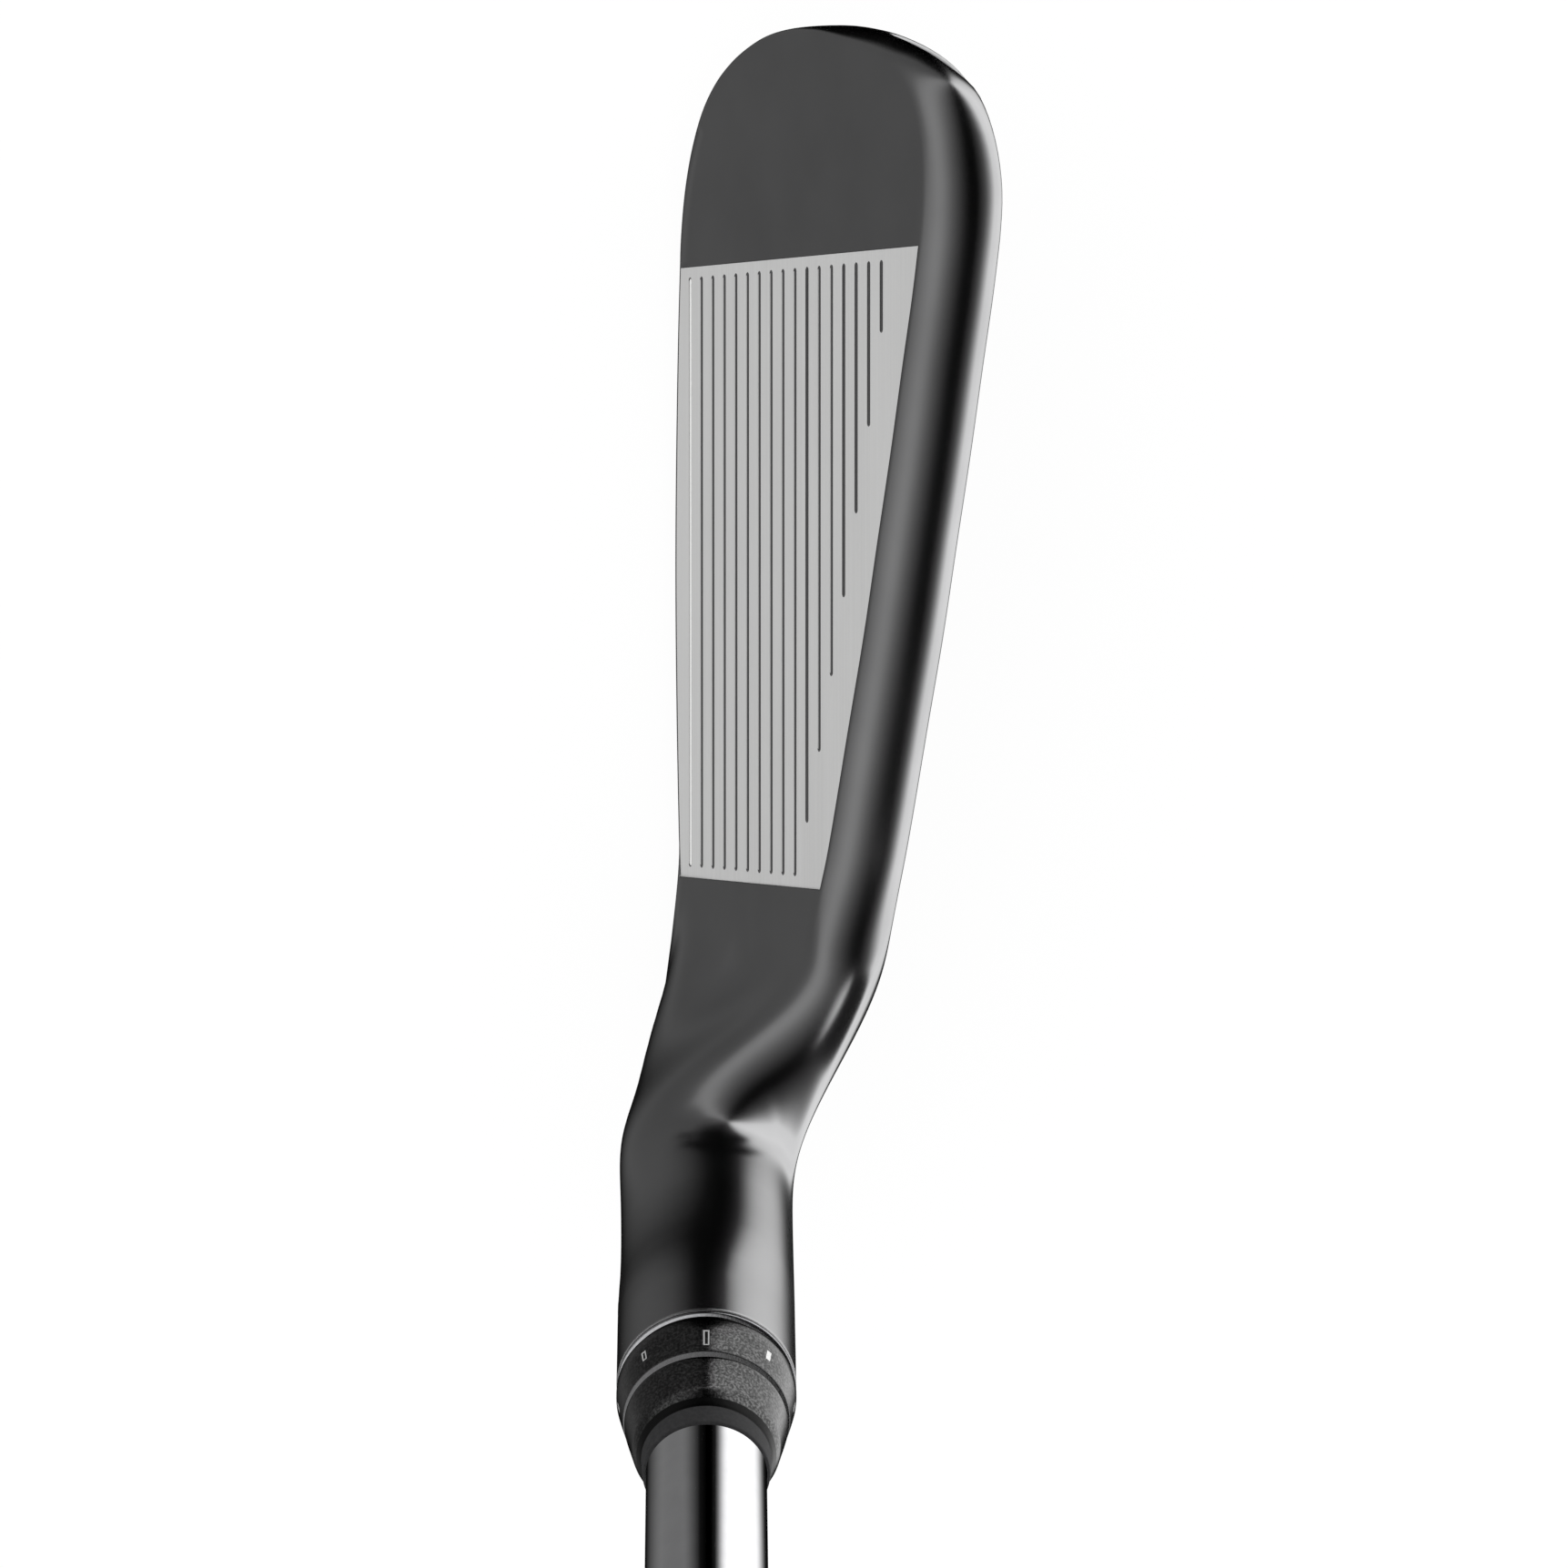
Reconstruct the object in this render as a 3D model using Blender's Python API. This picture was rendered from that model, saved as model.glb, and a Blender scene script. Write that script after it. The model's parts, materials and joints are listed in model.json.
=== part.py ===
"""Iron golf club with an adjustable hosel, full length, as separate pieces.

Frame, in metres: origin where the sole rests on the ground under the middle of
the scorelines, +X from heel to toe, +Y towards the target, +Z up. The club
stands as it is held at address, right handed, so the face looks towards +Y and
the shaft rises towards -X. Sizes in the script are in mm.
"""

import math
from collections import namedtuple

import bmesh
import bpy
import numpy as np
from mathutils import Matrix, Vector

for old in list(bpy.data.objects):
    bpy.data.objects.remove(old)

# ---------------------------------------------------------------- dimensions, mm
MM = 0.001
LOFT = math.radians(25.0)        # face lean from the vertical
LIE = math.radians(62.5)         # hosel axis above the ground
TILT = math.radians(1.0)         # shaft bore against the hosel axis, set by the sleeve
FACE_Y = 8.69                    # Y of the face plane at ground level
FACE_SLOPE = math.tan(LOFT)
FACE_T = 2.6                     # face plate thickness
FACE_X = (-26.0, 26.0)           # heel and toe ends of the face plate
PLATE_INSET = 0.10               # plate's top and bottom edges inside the flat face
GAP = 0.06                       # clearance round and behind the face plate
SEAT_DEPTH = FACE_T + GAP        # floor of the plate's seat, behind the face plane
BADGE_DEPTH = FACE_T + 2 * GAP   # front of the pieces behind the plate
CUT_OVERLAP = 0.5                # cuts behind the plate start this far inside its seat

HOSEL_FOOT = np.array((-38.4, 5.0, 0.0))   # hosel axis meets the ground here
HOSEL_TOP = 56.0                 # along the hosel axis from the ground
HOSEL_R = 7.12
BEND_R = 29.0                    # radius of the bend from hosel to blade
BEND_START = 34.0                # the bend starts here on the hosel axis
BORE_R = 5.75                    # hosel bore
MOUTH_R = 6.20                   # wider mouth that takes the sleeve's splines
MOUTH_FLOOR = 49.0
BORE_FLOOR = 16.0

TOPLINE_RISE = 2.4               # rim above the face's top edge
TOE_X, TOE_Z = 26.5, 22.0        # centre of the toe's fan of sections
LEDGE = 24.0                     # angle of the muscle's top line at the toe
MUSCLE_Y = -17.0                 # back of the muscle at the toe
FRAME_Y = -14.0                  # back of the upper frame at the toe

GROOVE_PITCH = 2.286             # up the face
GROOVE_FIRST_Z = 5.0
GROOVE_W = 0.55
GROOVE_D = 0.35
GROOVE_TOE = 25.15
# Heel ends in X, lowest scoreline first; the upper ones stop under the topline
GROOVE_HEEL = (-25.1,) * 10 + (-20.6, -14.7, -8.45, -2.0, 4.8, 11.8, 19.3)

PIVOT = 64.0                     # hosel and shaft axes cross here
SHAFT_R = 4.70                   # tip radius
CLUB_LENGTH = 962.0              # along the shaft, ground to butt cap
SHAFT_END = CLUB_LENGTH - 4.0
GRIP_START = CLUB_LENGTH - 267.0
GRIP_END = CLUB_LENGTH - 5.5
STEPS = [292 + 44.45 * i for i in range(13)]                   # places along the shaft
STEP_RADII = list(np.linspace(SHAFT_R, 7.62, len(STEPS) + 1))  # between the steps

HOSEL_AXIS = np.array([-math.cos(LIE), 0.0, math.sin(LIE)])    # upwards
HOSEL_ACROSS = np.array([math.sin(LIE), 0.0, math.cos(LIE)])   # square to it, to the toe
SHAFT_AXIS = np.array([-math.cos(LIE - TILT), 0.0, math.sin(LIE - TILT)])
BEND_C = HOSEL_FOOT + BEND_START * HOSEL_AXIS + BEND_R * HOSEL_ACROSS

# ---------------------------------------------------------------- head outlines
# Blade, as (X, Z): top and bottom edges of the flat face, lowest line of the
# sole, and the middle line the sections spread from
FACE_TOP = [
    (-34, 25.6), (-25.8, 28.3), (-20.1, 30.3), (-12.6, 32.8), (-5.2, 35.3), (2.2, 37.5),
    (9.5, 39.7), (16.7, 41.7), (22.5, 43.35), (26.5, 44.3), (30, 45.0),
]
FACE_LOW = [
    (-40, 3.9), (-30, 3.35), (-25, 3.1), (-12, 2.6), (0, 2.4), (12, 2.6), (25, 3.15),
    (26.5, 3.25), (30, 3.55),
]
SOLE = [
    (-40, 2.4), (-30, 1.45), (-25, 0.98), (-12, 0.14), (0, -0.12), (12, 0.16), (25, 1.02),
    (26.5, 1.15), (30, 1.5),
]
SPINE = [
    (-29, 14.55), (-28.4, 14.56), (-20, 15.2), (-8, 16.6), (6, 18.5), (18, 20.5),
    (26.5, 22.0), (28, 22.3),
]
# Back of the head, as (X, Y): the muscle, then the upper frame's inner edge
HEEL_BACK = [
    (-56, -2.0), (-50, -2.4), (-46.4, -3.3), (-44, -4.3), (-40.9, -6.0), (-37.2, -7.85),
    (-33.5, -9.2), (-28.5, -10.35),
]
MUSCLE_BACK = HEEL_BACK + [
    (-20.8, -11.8), (-13, -13.0), (2.3, -15.3), (10, -16.3), (17.7, -16.9), (30, -17.0),
]
FRAME_BACK = HEEL_BACK + [
    (-20.8, -11.4), (-13, -12.2), (2.3, -13.4), (10, -13.8), (30, -14.0),
]
# Toe, as (angle, radius) about its centre: edge of the flat face, outermost rim
TOE_FACE = [
    (-90, 18.75), (-80, 18.75), (-69, 18.95), (-59, 19.2), (-49, 19.4), (-39, 19.25),
    (-31, 18.95), (-20, 18.55), (-12, 18.4), (0, 18.3), (13, 18.5), (29, 19.3),
    (43.6, 21.0), (52, 22.5), (60, 23.5), (70, 23.75), (80, 23.15), (90, 22.3),
]
TOE_RIM = [
    (-90, 20.85), (-80, 20.5), (-69, 20.35), (-59, 20.3), (-49, 20.2), (-39, 19.75),
    (-31, 19.3), (-20, 18.85), (-12, 18.65), (0, 18.6), (13, 18.9), (29, 20.05),
    (43.6, 22.3), (52, 24.0), (60, 25.3), (70, 25.9), (80, 25.5), (90, 24.7),
]
# Front to back thickness of the upper frame round the toe, by angle
TOE_FRAME_T = [
    (-90, 5.0), (0, 5.0), (30, 5.0), (44, 5.1), (57, 5.4), (70, 5.9), (80, 6.3), (90, 6.4),
]
# By degrees round the bend: how far the face and topline step forward, and how
# far the lower rim and the back have gone over to the round hosel
FORWARD = [
    (-6, 0), (0, 0.25), (5, 0.75), (10, 1.3), (20, 2.1), (30, 3.2), (38, 4.5), (44, 5.6),
    (60, 6.2),
]
ROUND_LOW = [
    (-8, 0), (-2, 0.10), (2, 0.30), (6, 0.50), (13, 0.70), (20, 0.83), (27, 0.93),
    (34, 0.99), (40, 1),
]
ROUND_BACK = [(26, 0), (34, 0.15), (42, 0.52), (50, 0.88), (57, 1)]

# Point counts of half a section: flat face, rim's front, rim's back, back.
# Row counts: hosel, bend, blade. The neck is faired fine and then thinned.
FINE_POINTS, FINE_ROWS = (12, 14, 18, 14), (20, 64, 64)
POINTS, NECK_ROWS = (5, 5, 6, 4), (3, 14, 12)
# Angles of the toe's rows above and below its centre, closer beside the ledge
TOE_ROWS = (90, 82, 74, 66, 58, 50, 43, 36, 30.5, 26.6, 24.2, 21.8, 16, 8, 0)

# Fairing of the heel, in degrees of bend: runs in, runs out, joins in across rows
FAIR_IN, FAIR_OUT, FAIR_ACROSS = (-12, 6), (68, 90), (6, 28)
FAIR_PASSES, FAIR_RESTORES, FAIR_LAST = 200, 3, 26


# ---------------------------------------------------------------- curve helpers
def curve(x, table):
    """Smooth curve through the table's points by cubic Hermite spans, level
    beyond its ends."""
    points = np.array(table, float)
    px, py = points[:, 0], points[:, 1]
    slope = np.gradient(py, px)
    x = float(np.clip(x, px[0], px[-1]))
    i = int(np.clip(np.searchsorted(px, x) - 1, 0, len(px) - 2))
    span = px[i + 1] - px[i]
    s = (x - px[i]) / span
    return float(
        (2 * s**3 - 3 * s**2 + 1) * py[i]
        + (s**3 - 2 * s**2 + s) * span * slope[i]
        + (-2 * s**3 + 3 * s**2) * py[i + 1]
        + (s**3 - s**2) * span * slope[i + 1]
    )


def fraction(x, table):
    """A curve held between 0 and 1."""
    return min(max(curve(x, table), 0.0), 1.0)


def mix(a, b, t):
    return a * (1 - t) + b * t


def smooth_min(a, b, width):
    h = max(width - abs(a - b), 0.0) / width
    return min(a, b) - h * h * width / 4


def smooth_max(a, b, width):
    return -smooth_min(-a, -b, width)


def smooth(x, start, end):
    """Rises from 0 at start to 1 at end."""
    t = min(max((x - start) / (end - start), 0.0), 1.0)
    return t * t * (3 - 2 * t)


def bezier(p0, p1, p2, p3, n):
    t = np.linspace(0, 1, n + 1)[:, None]
    p0, p1, p2, p3 = (np.array(p, float) for p in (p0, p1, p2, p3))
    return (1 - t) ** 3 * p0 + 3 * (1 - t) ** 2 * t * p1 + 3 * (1 - t) * t**2 * p2 + t**3 * p3


def face_y(z):
    return FACE_Y - FACE_SLOPE * z


def muscle_back(x):
    return curve(x, MUSCLE_BACK)


def frame_back(x):
    return curve(x, FRAME_BACK)


def spine_z(x):
    return curve(x, SPINE)


def ledge_z(x):
    """Top line of the muscle, straight past the toe's centre."""
    if x < TOE_X:
        return spine_z(x)
    return TOE_Z + (x - TOE_X) * math.tan(math.radians(LEDGE))


# ---------------------------------------------------------------- head sections
def half_section(spine, out, edge, reach, thick, apex, drop, crease, pull_out, pull_back,
                 back_y, lip_y, counts):
    """Half of a section, from the middle of the face over the rim to the middle
    of the back, as 3-D points. spine and out are in the XZ plane. edge and reach
    are the radii of the face's edge and the rim, apex is the rim's depth behind
    the edge, and drop how far it falls in by the full thickness. crease turns
    the rim's start away from the face; the pulls are the handles of its back
    curve. back_y and lip_y give Y at an X for the middle and rim of the back."""
    n_face, n_front, n_rear, n_back = counts
    edge_y = face_y(spine[1] + edge * out[1])
    rise = reach - edge
    lean = math.atan2(1.0, FACE_SLOPE * out[1]) - crease
    handle = 0.55 * rise / math.sin(lean)
    front = bezier((0, 0), (handle * math.cos(lean), handle * math.sin(lean)),
                   (apex * 0.5, rise), (apex, rise), n_front)
    rear = bezier((apex, rise), (apex + pull_out * (thick - apex), rise),
                  (thick, rise - pull_back * drop), (thick, rise - drop), n_rear)
    points = []
    for i in range(n_face):
        r = edge * i / n_face
        z = spine[1] + r * out[1]
        points.append((spine[0] + r * out[0], face_y(z), z))
    for depth, gain in list(front) + list(rear[1:]):
        r = edge + gain
        points.append((spine[0] + r * out[0], edge_y - depth, spine[1] + r * out[1]))
    rim_r, rim_y = reach - drop, edge_y - thick
    for i in range(1, n_back + 1):
        s = i / n_back
        r = rim_r * (1 - s)
        x = spine[0] + r * out[0]
        y = back_y(x) if i == n_back else rim_y + (lip_y(x) - rim_y) * smooth(s, 0, 0.75)
        points.append((x, y, spine[1] + r * out[1]))
    return np.array(points)


def round_half(spine, out, degrees, reach_at):
    """Half of a round section. degrees are the angles at the ends of its four
    parts; reach_at gives the distance along out at an angle."""
    starts = np.cumsum((0,) + FINE_POINTS)
    points = []
    for deg in np.interp(range(starts[-1] + 1), starts, degrees):
        e = reach_at(deg)
        y = HOSEL_FOOT[1] + HOSEL_R * math.cos(math.radians(deg))
        points.append((spine[0] + e * out[0], y, spine[1] + e * out[1]))
    return np.array(points)


def lower_round_half(spine, out, run, end):
    """Lower half of the hosel's section. In the bend and the blade it is drawn
    out by run along out before it rounds over to end."""
    def reach_at(deg):
        shift = run * smooth(min(deg, 180.0 - deg), 0, 40)
        return (end - run) * math.sin(math.radians(deg)) + shift

    return round_half(spine, out, (0, 46, 92, 140, 180), reach_at)


def barrel_cut(theta):
    """Shift and half height of the hosel barrel, cut at a slant at theta."""
    c = math.cos(LIE - theta)
    return BEND_R / c - BEND_R, HOSEL_R / c


def upper_round_half(spine, out, theta):
    """Upper half of the hosel barrel's section at angle theta in the bend. The
    face's edge ends up behind its crown."""
    shift, height = barrel_cut(min(theta, LIE))

    def reach_at(deg):
        sine = math.sin(math.radians(deg))
        return mix((height - shift) * sine, height * sine - shift,
                   smooth(min(deg, 180.0 - deg), 5, 50))

    return round_half(spine, out, (0, 101, 146, 168, 180), reach_at)


def barrel_front(e, theta):
    """Y of the hosel barrel's front at height e in a section. From 0.92 of its
    half height it carries on as a straight slope."""
    shift, height = barrel_cut(theta)
    x = (e + shift) / height
    if x < -1.0:
        return HOSEL_FOOT[1]
    q = math.sqrt(1 - x * x) if x < 0.92 else 0.3919 - 2.347 * (x - 0.92)
    return HOSEL_FOOT[1] + HOSEL_R * q


# Where a neck section stands: angle round the bend, middle, direction of its
# upper half, radii of face edge and rim above and below, and the lower run
Station = namedtuple("Station", "theta spine up top_edge top_rim low_edge low_rim run")

# Blade heights where it meets the bend, so the two carry straight on
BEND_TOP_Z = curve(BEND_C[0], FACE_TOP)
BEND_SOLE_Z = curve(BEND_C[0], SOLE)
BEND_RIM = curve(BEND_C[0], FACE_LOW) - BEND_SOLE_Z
RUN_MARGIN = 5.0                 # the lower run ends at least this far inside the rim


def blade_station(x):
    """Upright section of the blade. Its angle is negative, so that the change
    to the bend can start a little before it."""
    z = spine_z(x)
    top = curve(x, FACE_TOP) - z
    low_rim = z - curve(x, SOLE)
    return Station(
        theta=-(x - BEND_C[0]) / BEND_R, spine=(x, z), up=(0.0, 1.0),
        top_edge=top, top_rim=top + TOPLINE_RISE,
        low_edge=z - curve(x, FACE_LOW), low_rim=low_rim, run=low_rim - RUN_MARGIN)


def heel_station(theta, along=0.0):
    """Section across the bend or, beyond it, along the straight hosel."""
    turn = min(theta, LIE)
    sine, cosine = math.sin(turn), math.cos(turn)
    slant = math.cos(LIE - turn)
    spine = (BEND_C[0] + along * HOSEL_AXIS[0] - BEND_R * sine,
             BEND_C[2] + along * HOSEL_AXIS[2] - BEND_R * cosine)
    # inner and outer outlines, measured from the centre of the bend
    inner = smooth_min(
        (BEND_C[2] - BEND_TOP_Z - TOPLINE_RISE) / max(cosine - 0.30 * sine, 0.2),
        (BEND_R - HOSEL_R) / slant, 3.5)
    outer = smooth_min(
        (BEND_R + HOSEL_R) / slant,
        (BEND_C[2] - BEND_SOLE_Z - 3.01 * math.tan(min(turn, 0.9))) / max(cosine, 0.3), 9.0)
    top_rim = BEND_R - inner
    low_rim = outer - BEND_R
    return Station(
        theta=theta, spine=spine, up=(sine, cosine),
        top_edge=top_rim - TOPLINE_RISE, top_rim=top_rim,
        low_edge=low_rim - mix(BEND_RIM, 2.35, smooth(turn, 0.0, 0.5)), low_rim=low_rim,
        run=min(BEND_R / slant - BEND_R, max(low_rim - RUN_MARGIN, 0.0)))


def roundness(front, rim, back):
    """How far each point has gone over to the hosel's round section, given at
    the middle of the face, at the rim and at the middle of the back."""
    total, at_rim = sum(FINE_POINTS), sum(FINE_POINTS[:2])
    out = [mix(front, rim, smooth(j, 0, at_rim)) if j <= at_rim
           else mix(rim, back, smooth(j, at_rim, total)) for j in range(total + 1)]
    return np.array(out)[:, None]


def step_forward(points, deg, upper, edge):
    """The face and topline step forward as they near the hosel, and the face
    swells out into the barrel's front."""
    n_face, n_front, n_rear, _ = FINE_POINTS
    total = sum(FINE_POINTS)
    step = curve(deg, FORWARD)
    held = 0.45 * smooth(deg, 0, 6) * (1 - smooth(deg, 22, 40))
    for j in range(total + 1):
        if upper:
            fade = smooth(j, n_face + n_front + 0.4 * n_rear, total)
            points[j, 1] += step * (1 - held) * (1 - fade)
        else:
            fade = smooth(j, 0.5 * n_face, n_face + n_front + 0.3 * n_rear)
            points[j, 1] += step * (1 - fade)
    if deg <= 0:
        return
    theta = min(math.radians(deg), LIE)
    for j in range(n_face):
        part = j / n_face
        y = points[j, 1]
        barrel = barrel_front((edge if upper else -edge) * part, theta)
        if not upper:
            flatten = 1 - 0.25 * smooth(part, 0.3, 1.0)
            barrel = HOSEL_FOOT[1] + (barrel - HOSEL_FOOT[1]) * flatten
        swell = smooth_max(y, barrel, 4.5) - y
        points[j, 1] = y + swell * (1 - smooth(part, 0.7, 1.0)) * smooth(deg, 2, 14)


def closed_row(upper, lower):
    """Loop over the top from face to back, then under the sole to the face."""
    return np.vstack([upper, lower[-2:0:-1]])


def neck_row(st):
    """Closed row of the hosel, bend or blade at a station."""
    deg = math.degrees(st.theta)
    up = st.up
    low = (-up[0], -up[1])
    low_thick = (face_y(st.spine[1] + st.low_edge * low[1])
                 - muscle_back(st.spine[0] + st.low_edge * low[0]))
    upper = half_section(
        st.spine, up, st.top_edge, st.top_rim, thick=6.4, apex=4.35, drop=1.6,
        crease=math.radians(15), pull_out=0.5, pull_back=0.3,
        back_y=muscle_back, lip_y=frame_back, counts=FINE_POINTS)
    lower = half_section(
        st.spine, low, st.low_edge, st.low_rim, thick=low_thick, apex=7.4, drop=6.3,
        crease=0.0, pull_out=0.5, pull_back=0.3,
        back_y=muscle_back, lip_y=muscle_back, counts=FINE_POINTS)
    step_forward(upper, deg, True, st.top_edge)
    step_forward(lower, deg, False, st.low_edge)
    # the barrel's slanted cut runs off to infinity far from the hosel
    round_up = upper_round_half(st.spine, up, st.theta) if deg > 20 else upper
    round_low = lower_round_half(st.spine, low, st.run, st.low_rim if st.run else HOSEL_R)
    front, back = smooth(deg, 27, 45), fraction(deg, ROUND_BACK)
    return closed_row(
        mix(upper, round_up, roundness(front, front, back)),
        mix(lower, round_low, roundness(front, fraction(deg, ROUND_LOW), back)))


def fair(rows, degrees):
    """Even out the rows round the heel so the blade, bend and hosel flow into
    one another. The blade and the hosel's mouth stay put."""
    amount = np.array([smooth(d, *FAIR_IN) * (1 - smooth(d, *FAIR_OUT)) for d in degrees])
    amount = amount[:, None, None]
    across_amount = np.array([smooth(d, *FAIR_ACROSS) for d in degrees])[:, None, None]
    # the upper half takes more of it than the sole
    half = sum(FINE_POINTS)
    top = np.array([smooth(j, 0, FINE_POINTS[0]) * (1 - smooth(j, half - 8, half + 4))
                    for j in range(2 * half)])[None, :, None]

    def even(grid, count):
        for _ in range(count):
            along = np.zeros_like(grid)
            along[1:-1] = grid[:-2] + grid[2:] - 2 * grid[1:-1]
            across = np.roll(grid, 1, axis=1) + np.roll(grid, -1, axis=1) - 2 * grid
            grid = grid + amount * ((0.15 + 0.10 * top) * along
                                    + (0.07 + 0.15 * top) * across_amount * across)
        return grid

    grid = np.array(rows)
    out = even(grid, FAIR_PASSES)
    # what the evening took off the broad form is put back
    for _ in range(FAIR_RESTORES):
        out = out + even(grid - out, FAIR_PASSES)
    return even(out, FAIR_LAST)


def neck_grid():
    """Hosel, bend and blade on the fine grid, faired round the heel."""
    n_hosel, n_bend, n_blade = FINE_ROWS
    stations = [heel_station(LIE + (s - BEND_START) / BEND_R, s - BEND_START)
                for s in np.linspace(HOSEL_TOP, BEND_START, n_hosel, endpoint=False)]
    stations += [heel_station(t) for t in np.linspace(LIE, 0, n_bend, endpoint=False)]
    stations += [blade_station(x)
                 for x in np.linspace(BEND_C[0], TOE_X, n_blade, endpoint=False)]
    return fair([neck_row(st) for st in stations], [math.degrees(st.theta) for st in stations])


def thinned_places(fine, coarse):
    """Places on a fine count, part by part, of the points of a coarser one."""
    places, start = [], 0
    for have, want in zip(fine, coarse):
        places += [start + i * have / want for i in range(want)]
        start += have
    return places


def between(items, place):
    i = int(place)
    return mix(items[i], items[i + 1], place - i)


def thinned(grid):
    """The neck's grid at the coarser count of rows and of points round each."""
    half = sum(FINE_POINTS)
    cols = thinned_places(FINE_POINTS, POINTS)
    cols += [half] + [2 * half - c for c in reversed(cols[1:])]
    loop = np.concatenate([grid, grid[:, :1]], axis=1)
    rows = [between(loop, place) for place in thinned_places(FINE_ROWS, NECK_ROWS)]
    return [np.array([between(row, c) for c in cols]) for row in rows]


def toe_half(deg):
    """Half section of the toe at an angle about the toe's centre."""
    out = (math.cos(math.radians(deg)), math.sin(math.radians(deg)))
    edge = curve(deg, TOE_FACE)
    above = smooth(deg, LEDGE - 2.0, LEDGE + 2.5)             # 1 above the ledge
    off_sole = smooth(deg, -80, 10)                           # 0 at the sole
    # the rim's back edge falls away at the toe's high corner
    fall = smooth(deg, 27, 38) * (1 - smooth(deg, 50, 63))
    full = face_y(TOE_Z + edge * out[1]) - MUSCLE_Y
    return half_section(
        (TOE_X, TOE_Z), out, edge, curve(deg, TOE_RIM),
        thick=mix(full, curve(deg, TOE_FRAME_T), above),
        apex=mix(7.4, mix(2.9, 4.35, smooth(deg, 40, 90)), off_sole),
        drop=mix(mix(6.3, 6.6, off_sole), 1.6 + 1.8 * fall, above),
        crease=math.radians(15) * smooth(deg, 45, 85),
        pull_out=mix(mix(0.5, 0.30, off_sole), 0.5 - 0.2 * fall, above),
        pull_back=mix(mix(0.3, 0.42, off_sole), 0.3 + 0.2 * fall, above),
        back_y=lambda x: MUSCLE_Y, lip_y=lambda x: mix(MUSCLE_Y, FRAME_Y, above),
        counts=POINTS)


def head_shell():
    """The head's outer surface: loops joined row to row, the mouth capped, and
    the toe's last half row closing it as a seam."""
    rows = thinned(neck_grid())
    rows += [closed_row(toe_half(deg), toe_half(-deg)) for deg in TOE_ROWS[:-1]]
    bm = bmesh.new()
    rings = [[bm.verts.new(p * MM) for p in row] for row in rows]
    seam = [bm.verts.new(p * MM) for p in toe_half(TOE_ROWS[-1])]
    rings.append(seam + seam[-2:0:-1])
    count = len(rings[0])
    for a, b in zip(rings[:-1], rings[1:]):
        for j in range(count):
            k = (j + 1) % count
            bm.faces.new((a[j], a[k], b[k], b[j]))
    bm.faces.new(rings[0][::-1])
    # the toe rows all meet at the fan's centre
    bmesh.ops.remove_doubles(bm, verts=bm.verts, dist=1e-7)
    bmesh.ops.recalc_face_normals(bm, faces=bm.faces)
    return bm


# ---------------------------------------------------------------- materials
def material(name, color, metallic, roughness):
    mat = bpy.data.materials.new(name)
    mat.use_nodes = True
    inputs = mat.node_tree.nodes["Principled BSDF"].inputs
    inputs["Base Color"].default_value = (*color, 1)
    inputs["Metallic"].default_value = metallic
    inputs["Roughness"].default_value = roughness
    return mat


BLACK = material("black_pvd_steel", color=(0.030, 0.030, 0.031), metallic=0.6, roughness=0.33)
BLASTED = material("blasted_face_steel", color=(0.56, 0.56, 0.55), metallic=1.0, roughness=0.48)
ANODISED = material("black_anodised", color=(0.018, 0.018, 0.019), metallic=0.3, roughness=0.45)
CHROME = material("chrome", color=(0.86, 0.87, 0.88), metallic=1.0, roughness=0.05)
RUBBER = material("grip_rubber", color=(0.018, 0.018, 0.018), metallic=0.0, roughness=0.75)
PLASTIC = material("ferrule_plastic", color=(0.020, 0.020, 0.021), metallic=0.0, roughness=0.35)
ELASTOMER = material("elastomer", color=(0.045, 0.045, 0.048), metallic=0.0, roughness=0.7)
BADGE = material("badge_aluminium", color=(0.16, 0.165, 0.17), metallic=0.9, roughness=0.35)
ACCENT = material("accent_aluminium", color=(0.62, 0.62, 0.63), metallic=1.0, roughness=0.28)
TUNGSTEN = material("tungsten", color=(0.33, 0.32, 0.31), metallic=1.0, roughness=0.35)
STEEL = material("zinc_steel", color=(0.50, 0.50, 0.50), metallic=1.0, roughness=0.32)
BRASS = material("brass", color=(0.60, 0.44, 0.16), metallic=1.0, roughness=0.3)
NYLON = material("nylon", color=(0.75, 0.74, 0.70), metallic=0.0, roughness=0.5)
TAPE = material("tape", color=(0.70, 0.66, 0.56), metallic=0.0, roughness=0.8)


# ---------------------------------------------------------------- frames
def frame_at(point, axis):
    """Matrix with its origin at point and local Z along axis."""
    z = Vector(axis).normalized()
    x = Vector((0, 1, 0)).cross(z).normalized()
    frame = Matrix((x, z.cross(x), z)).transposed().to_4x4()
    frame.translation = Vector(point) * MM
    return frame


CLUB_FRAME = Matrix()
# Local Z runs up each axis; both count the same length where the axes cross
HOSEL = frame_at(HOSEL_FOOT, HOSEL_AXIS)
SHAFT = frame_at(HOSEL_FOOT + PIVOT * HOSEL_AXIS - PIVOT * SHAFT_AXIS, SHAFT_AXIS)
# Toe weight: local Z points out at the toe, a little down and back
TOE_WEIGHT = frame_at((33.6, -9.9, 14.6),
                      (math.cos(math.radians(-6)), -0.10, math.sin(math.radians(-6))))

CLUB = bpy.data.objects.new("club", None)
bpy.context.scene.collection.objects.link(CLUB)


# ---------------------------------------------------------------- object helpers
def add_object(name, bm, mat, frame=CLUB_FRAME, smooth_deg=35.0):
    mesh = bpy.data.meshes.new(name)
    bm.normal_update()
    bm.to_mesh(mesh)
    bm.free()
    mesh.materials.append(mat)
    mesh.shade_smooth()
    mesh.set_sharp_from_angle(angle=math.radians(smooth_deg))
    ob = bpy.data.objects.new(name, mesh)
    bpy.context.scene.collection.objects.link(ob)
    ob.parent = CLUB
    ob.matrix_local = frame
    return ob


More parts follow.
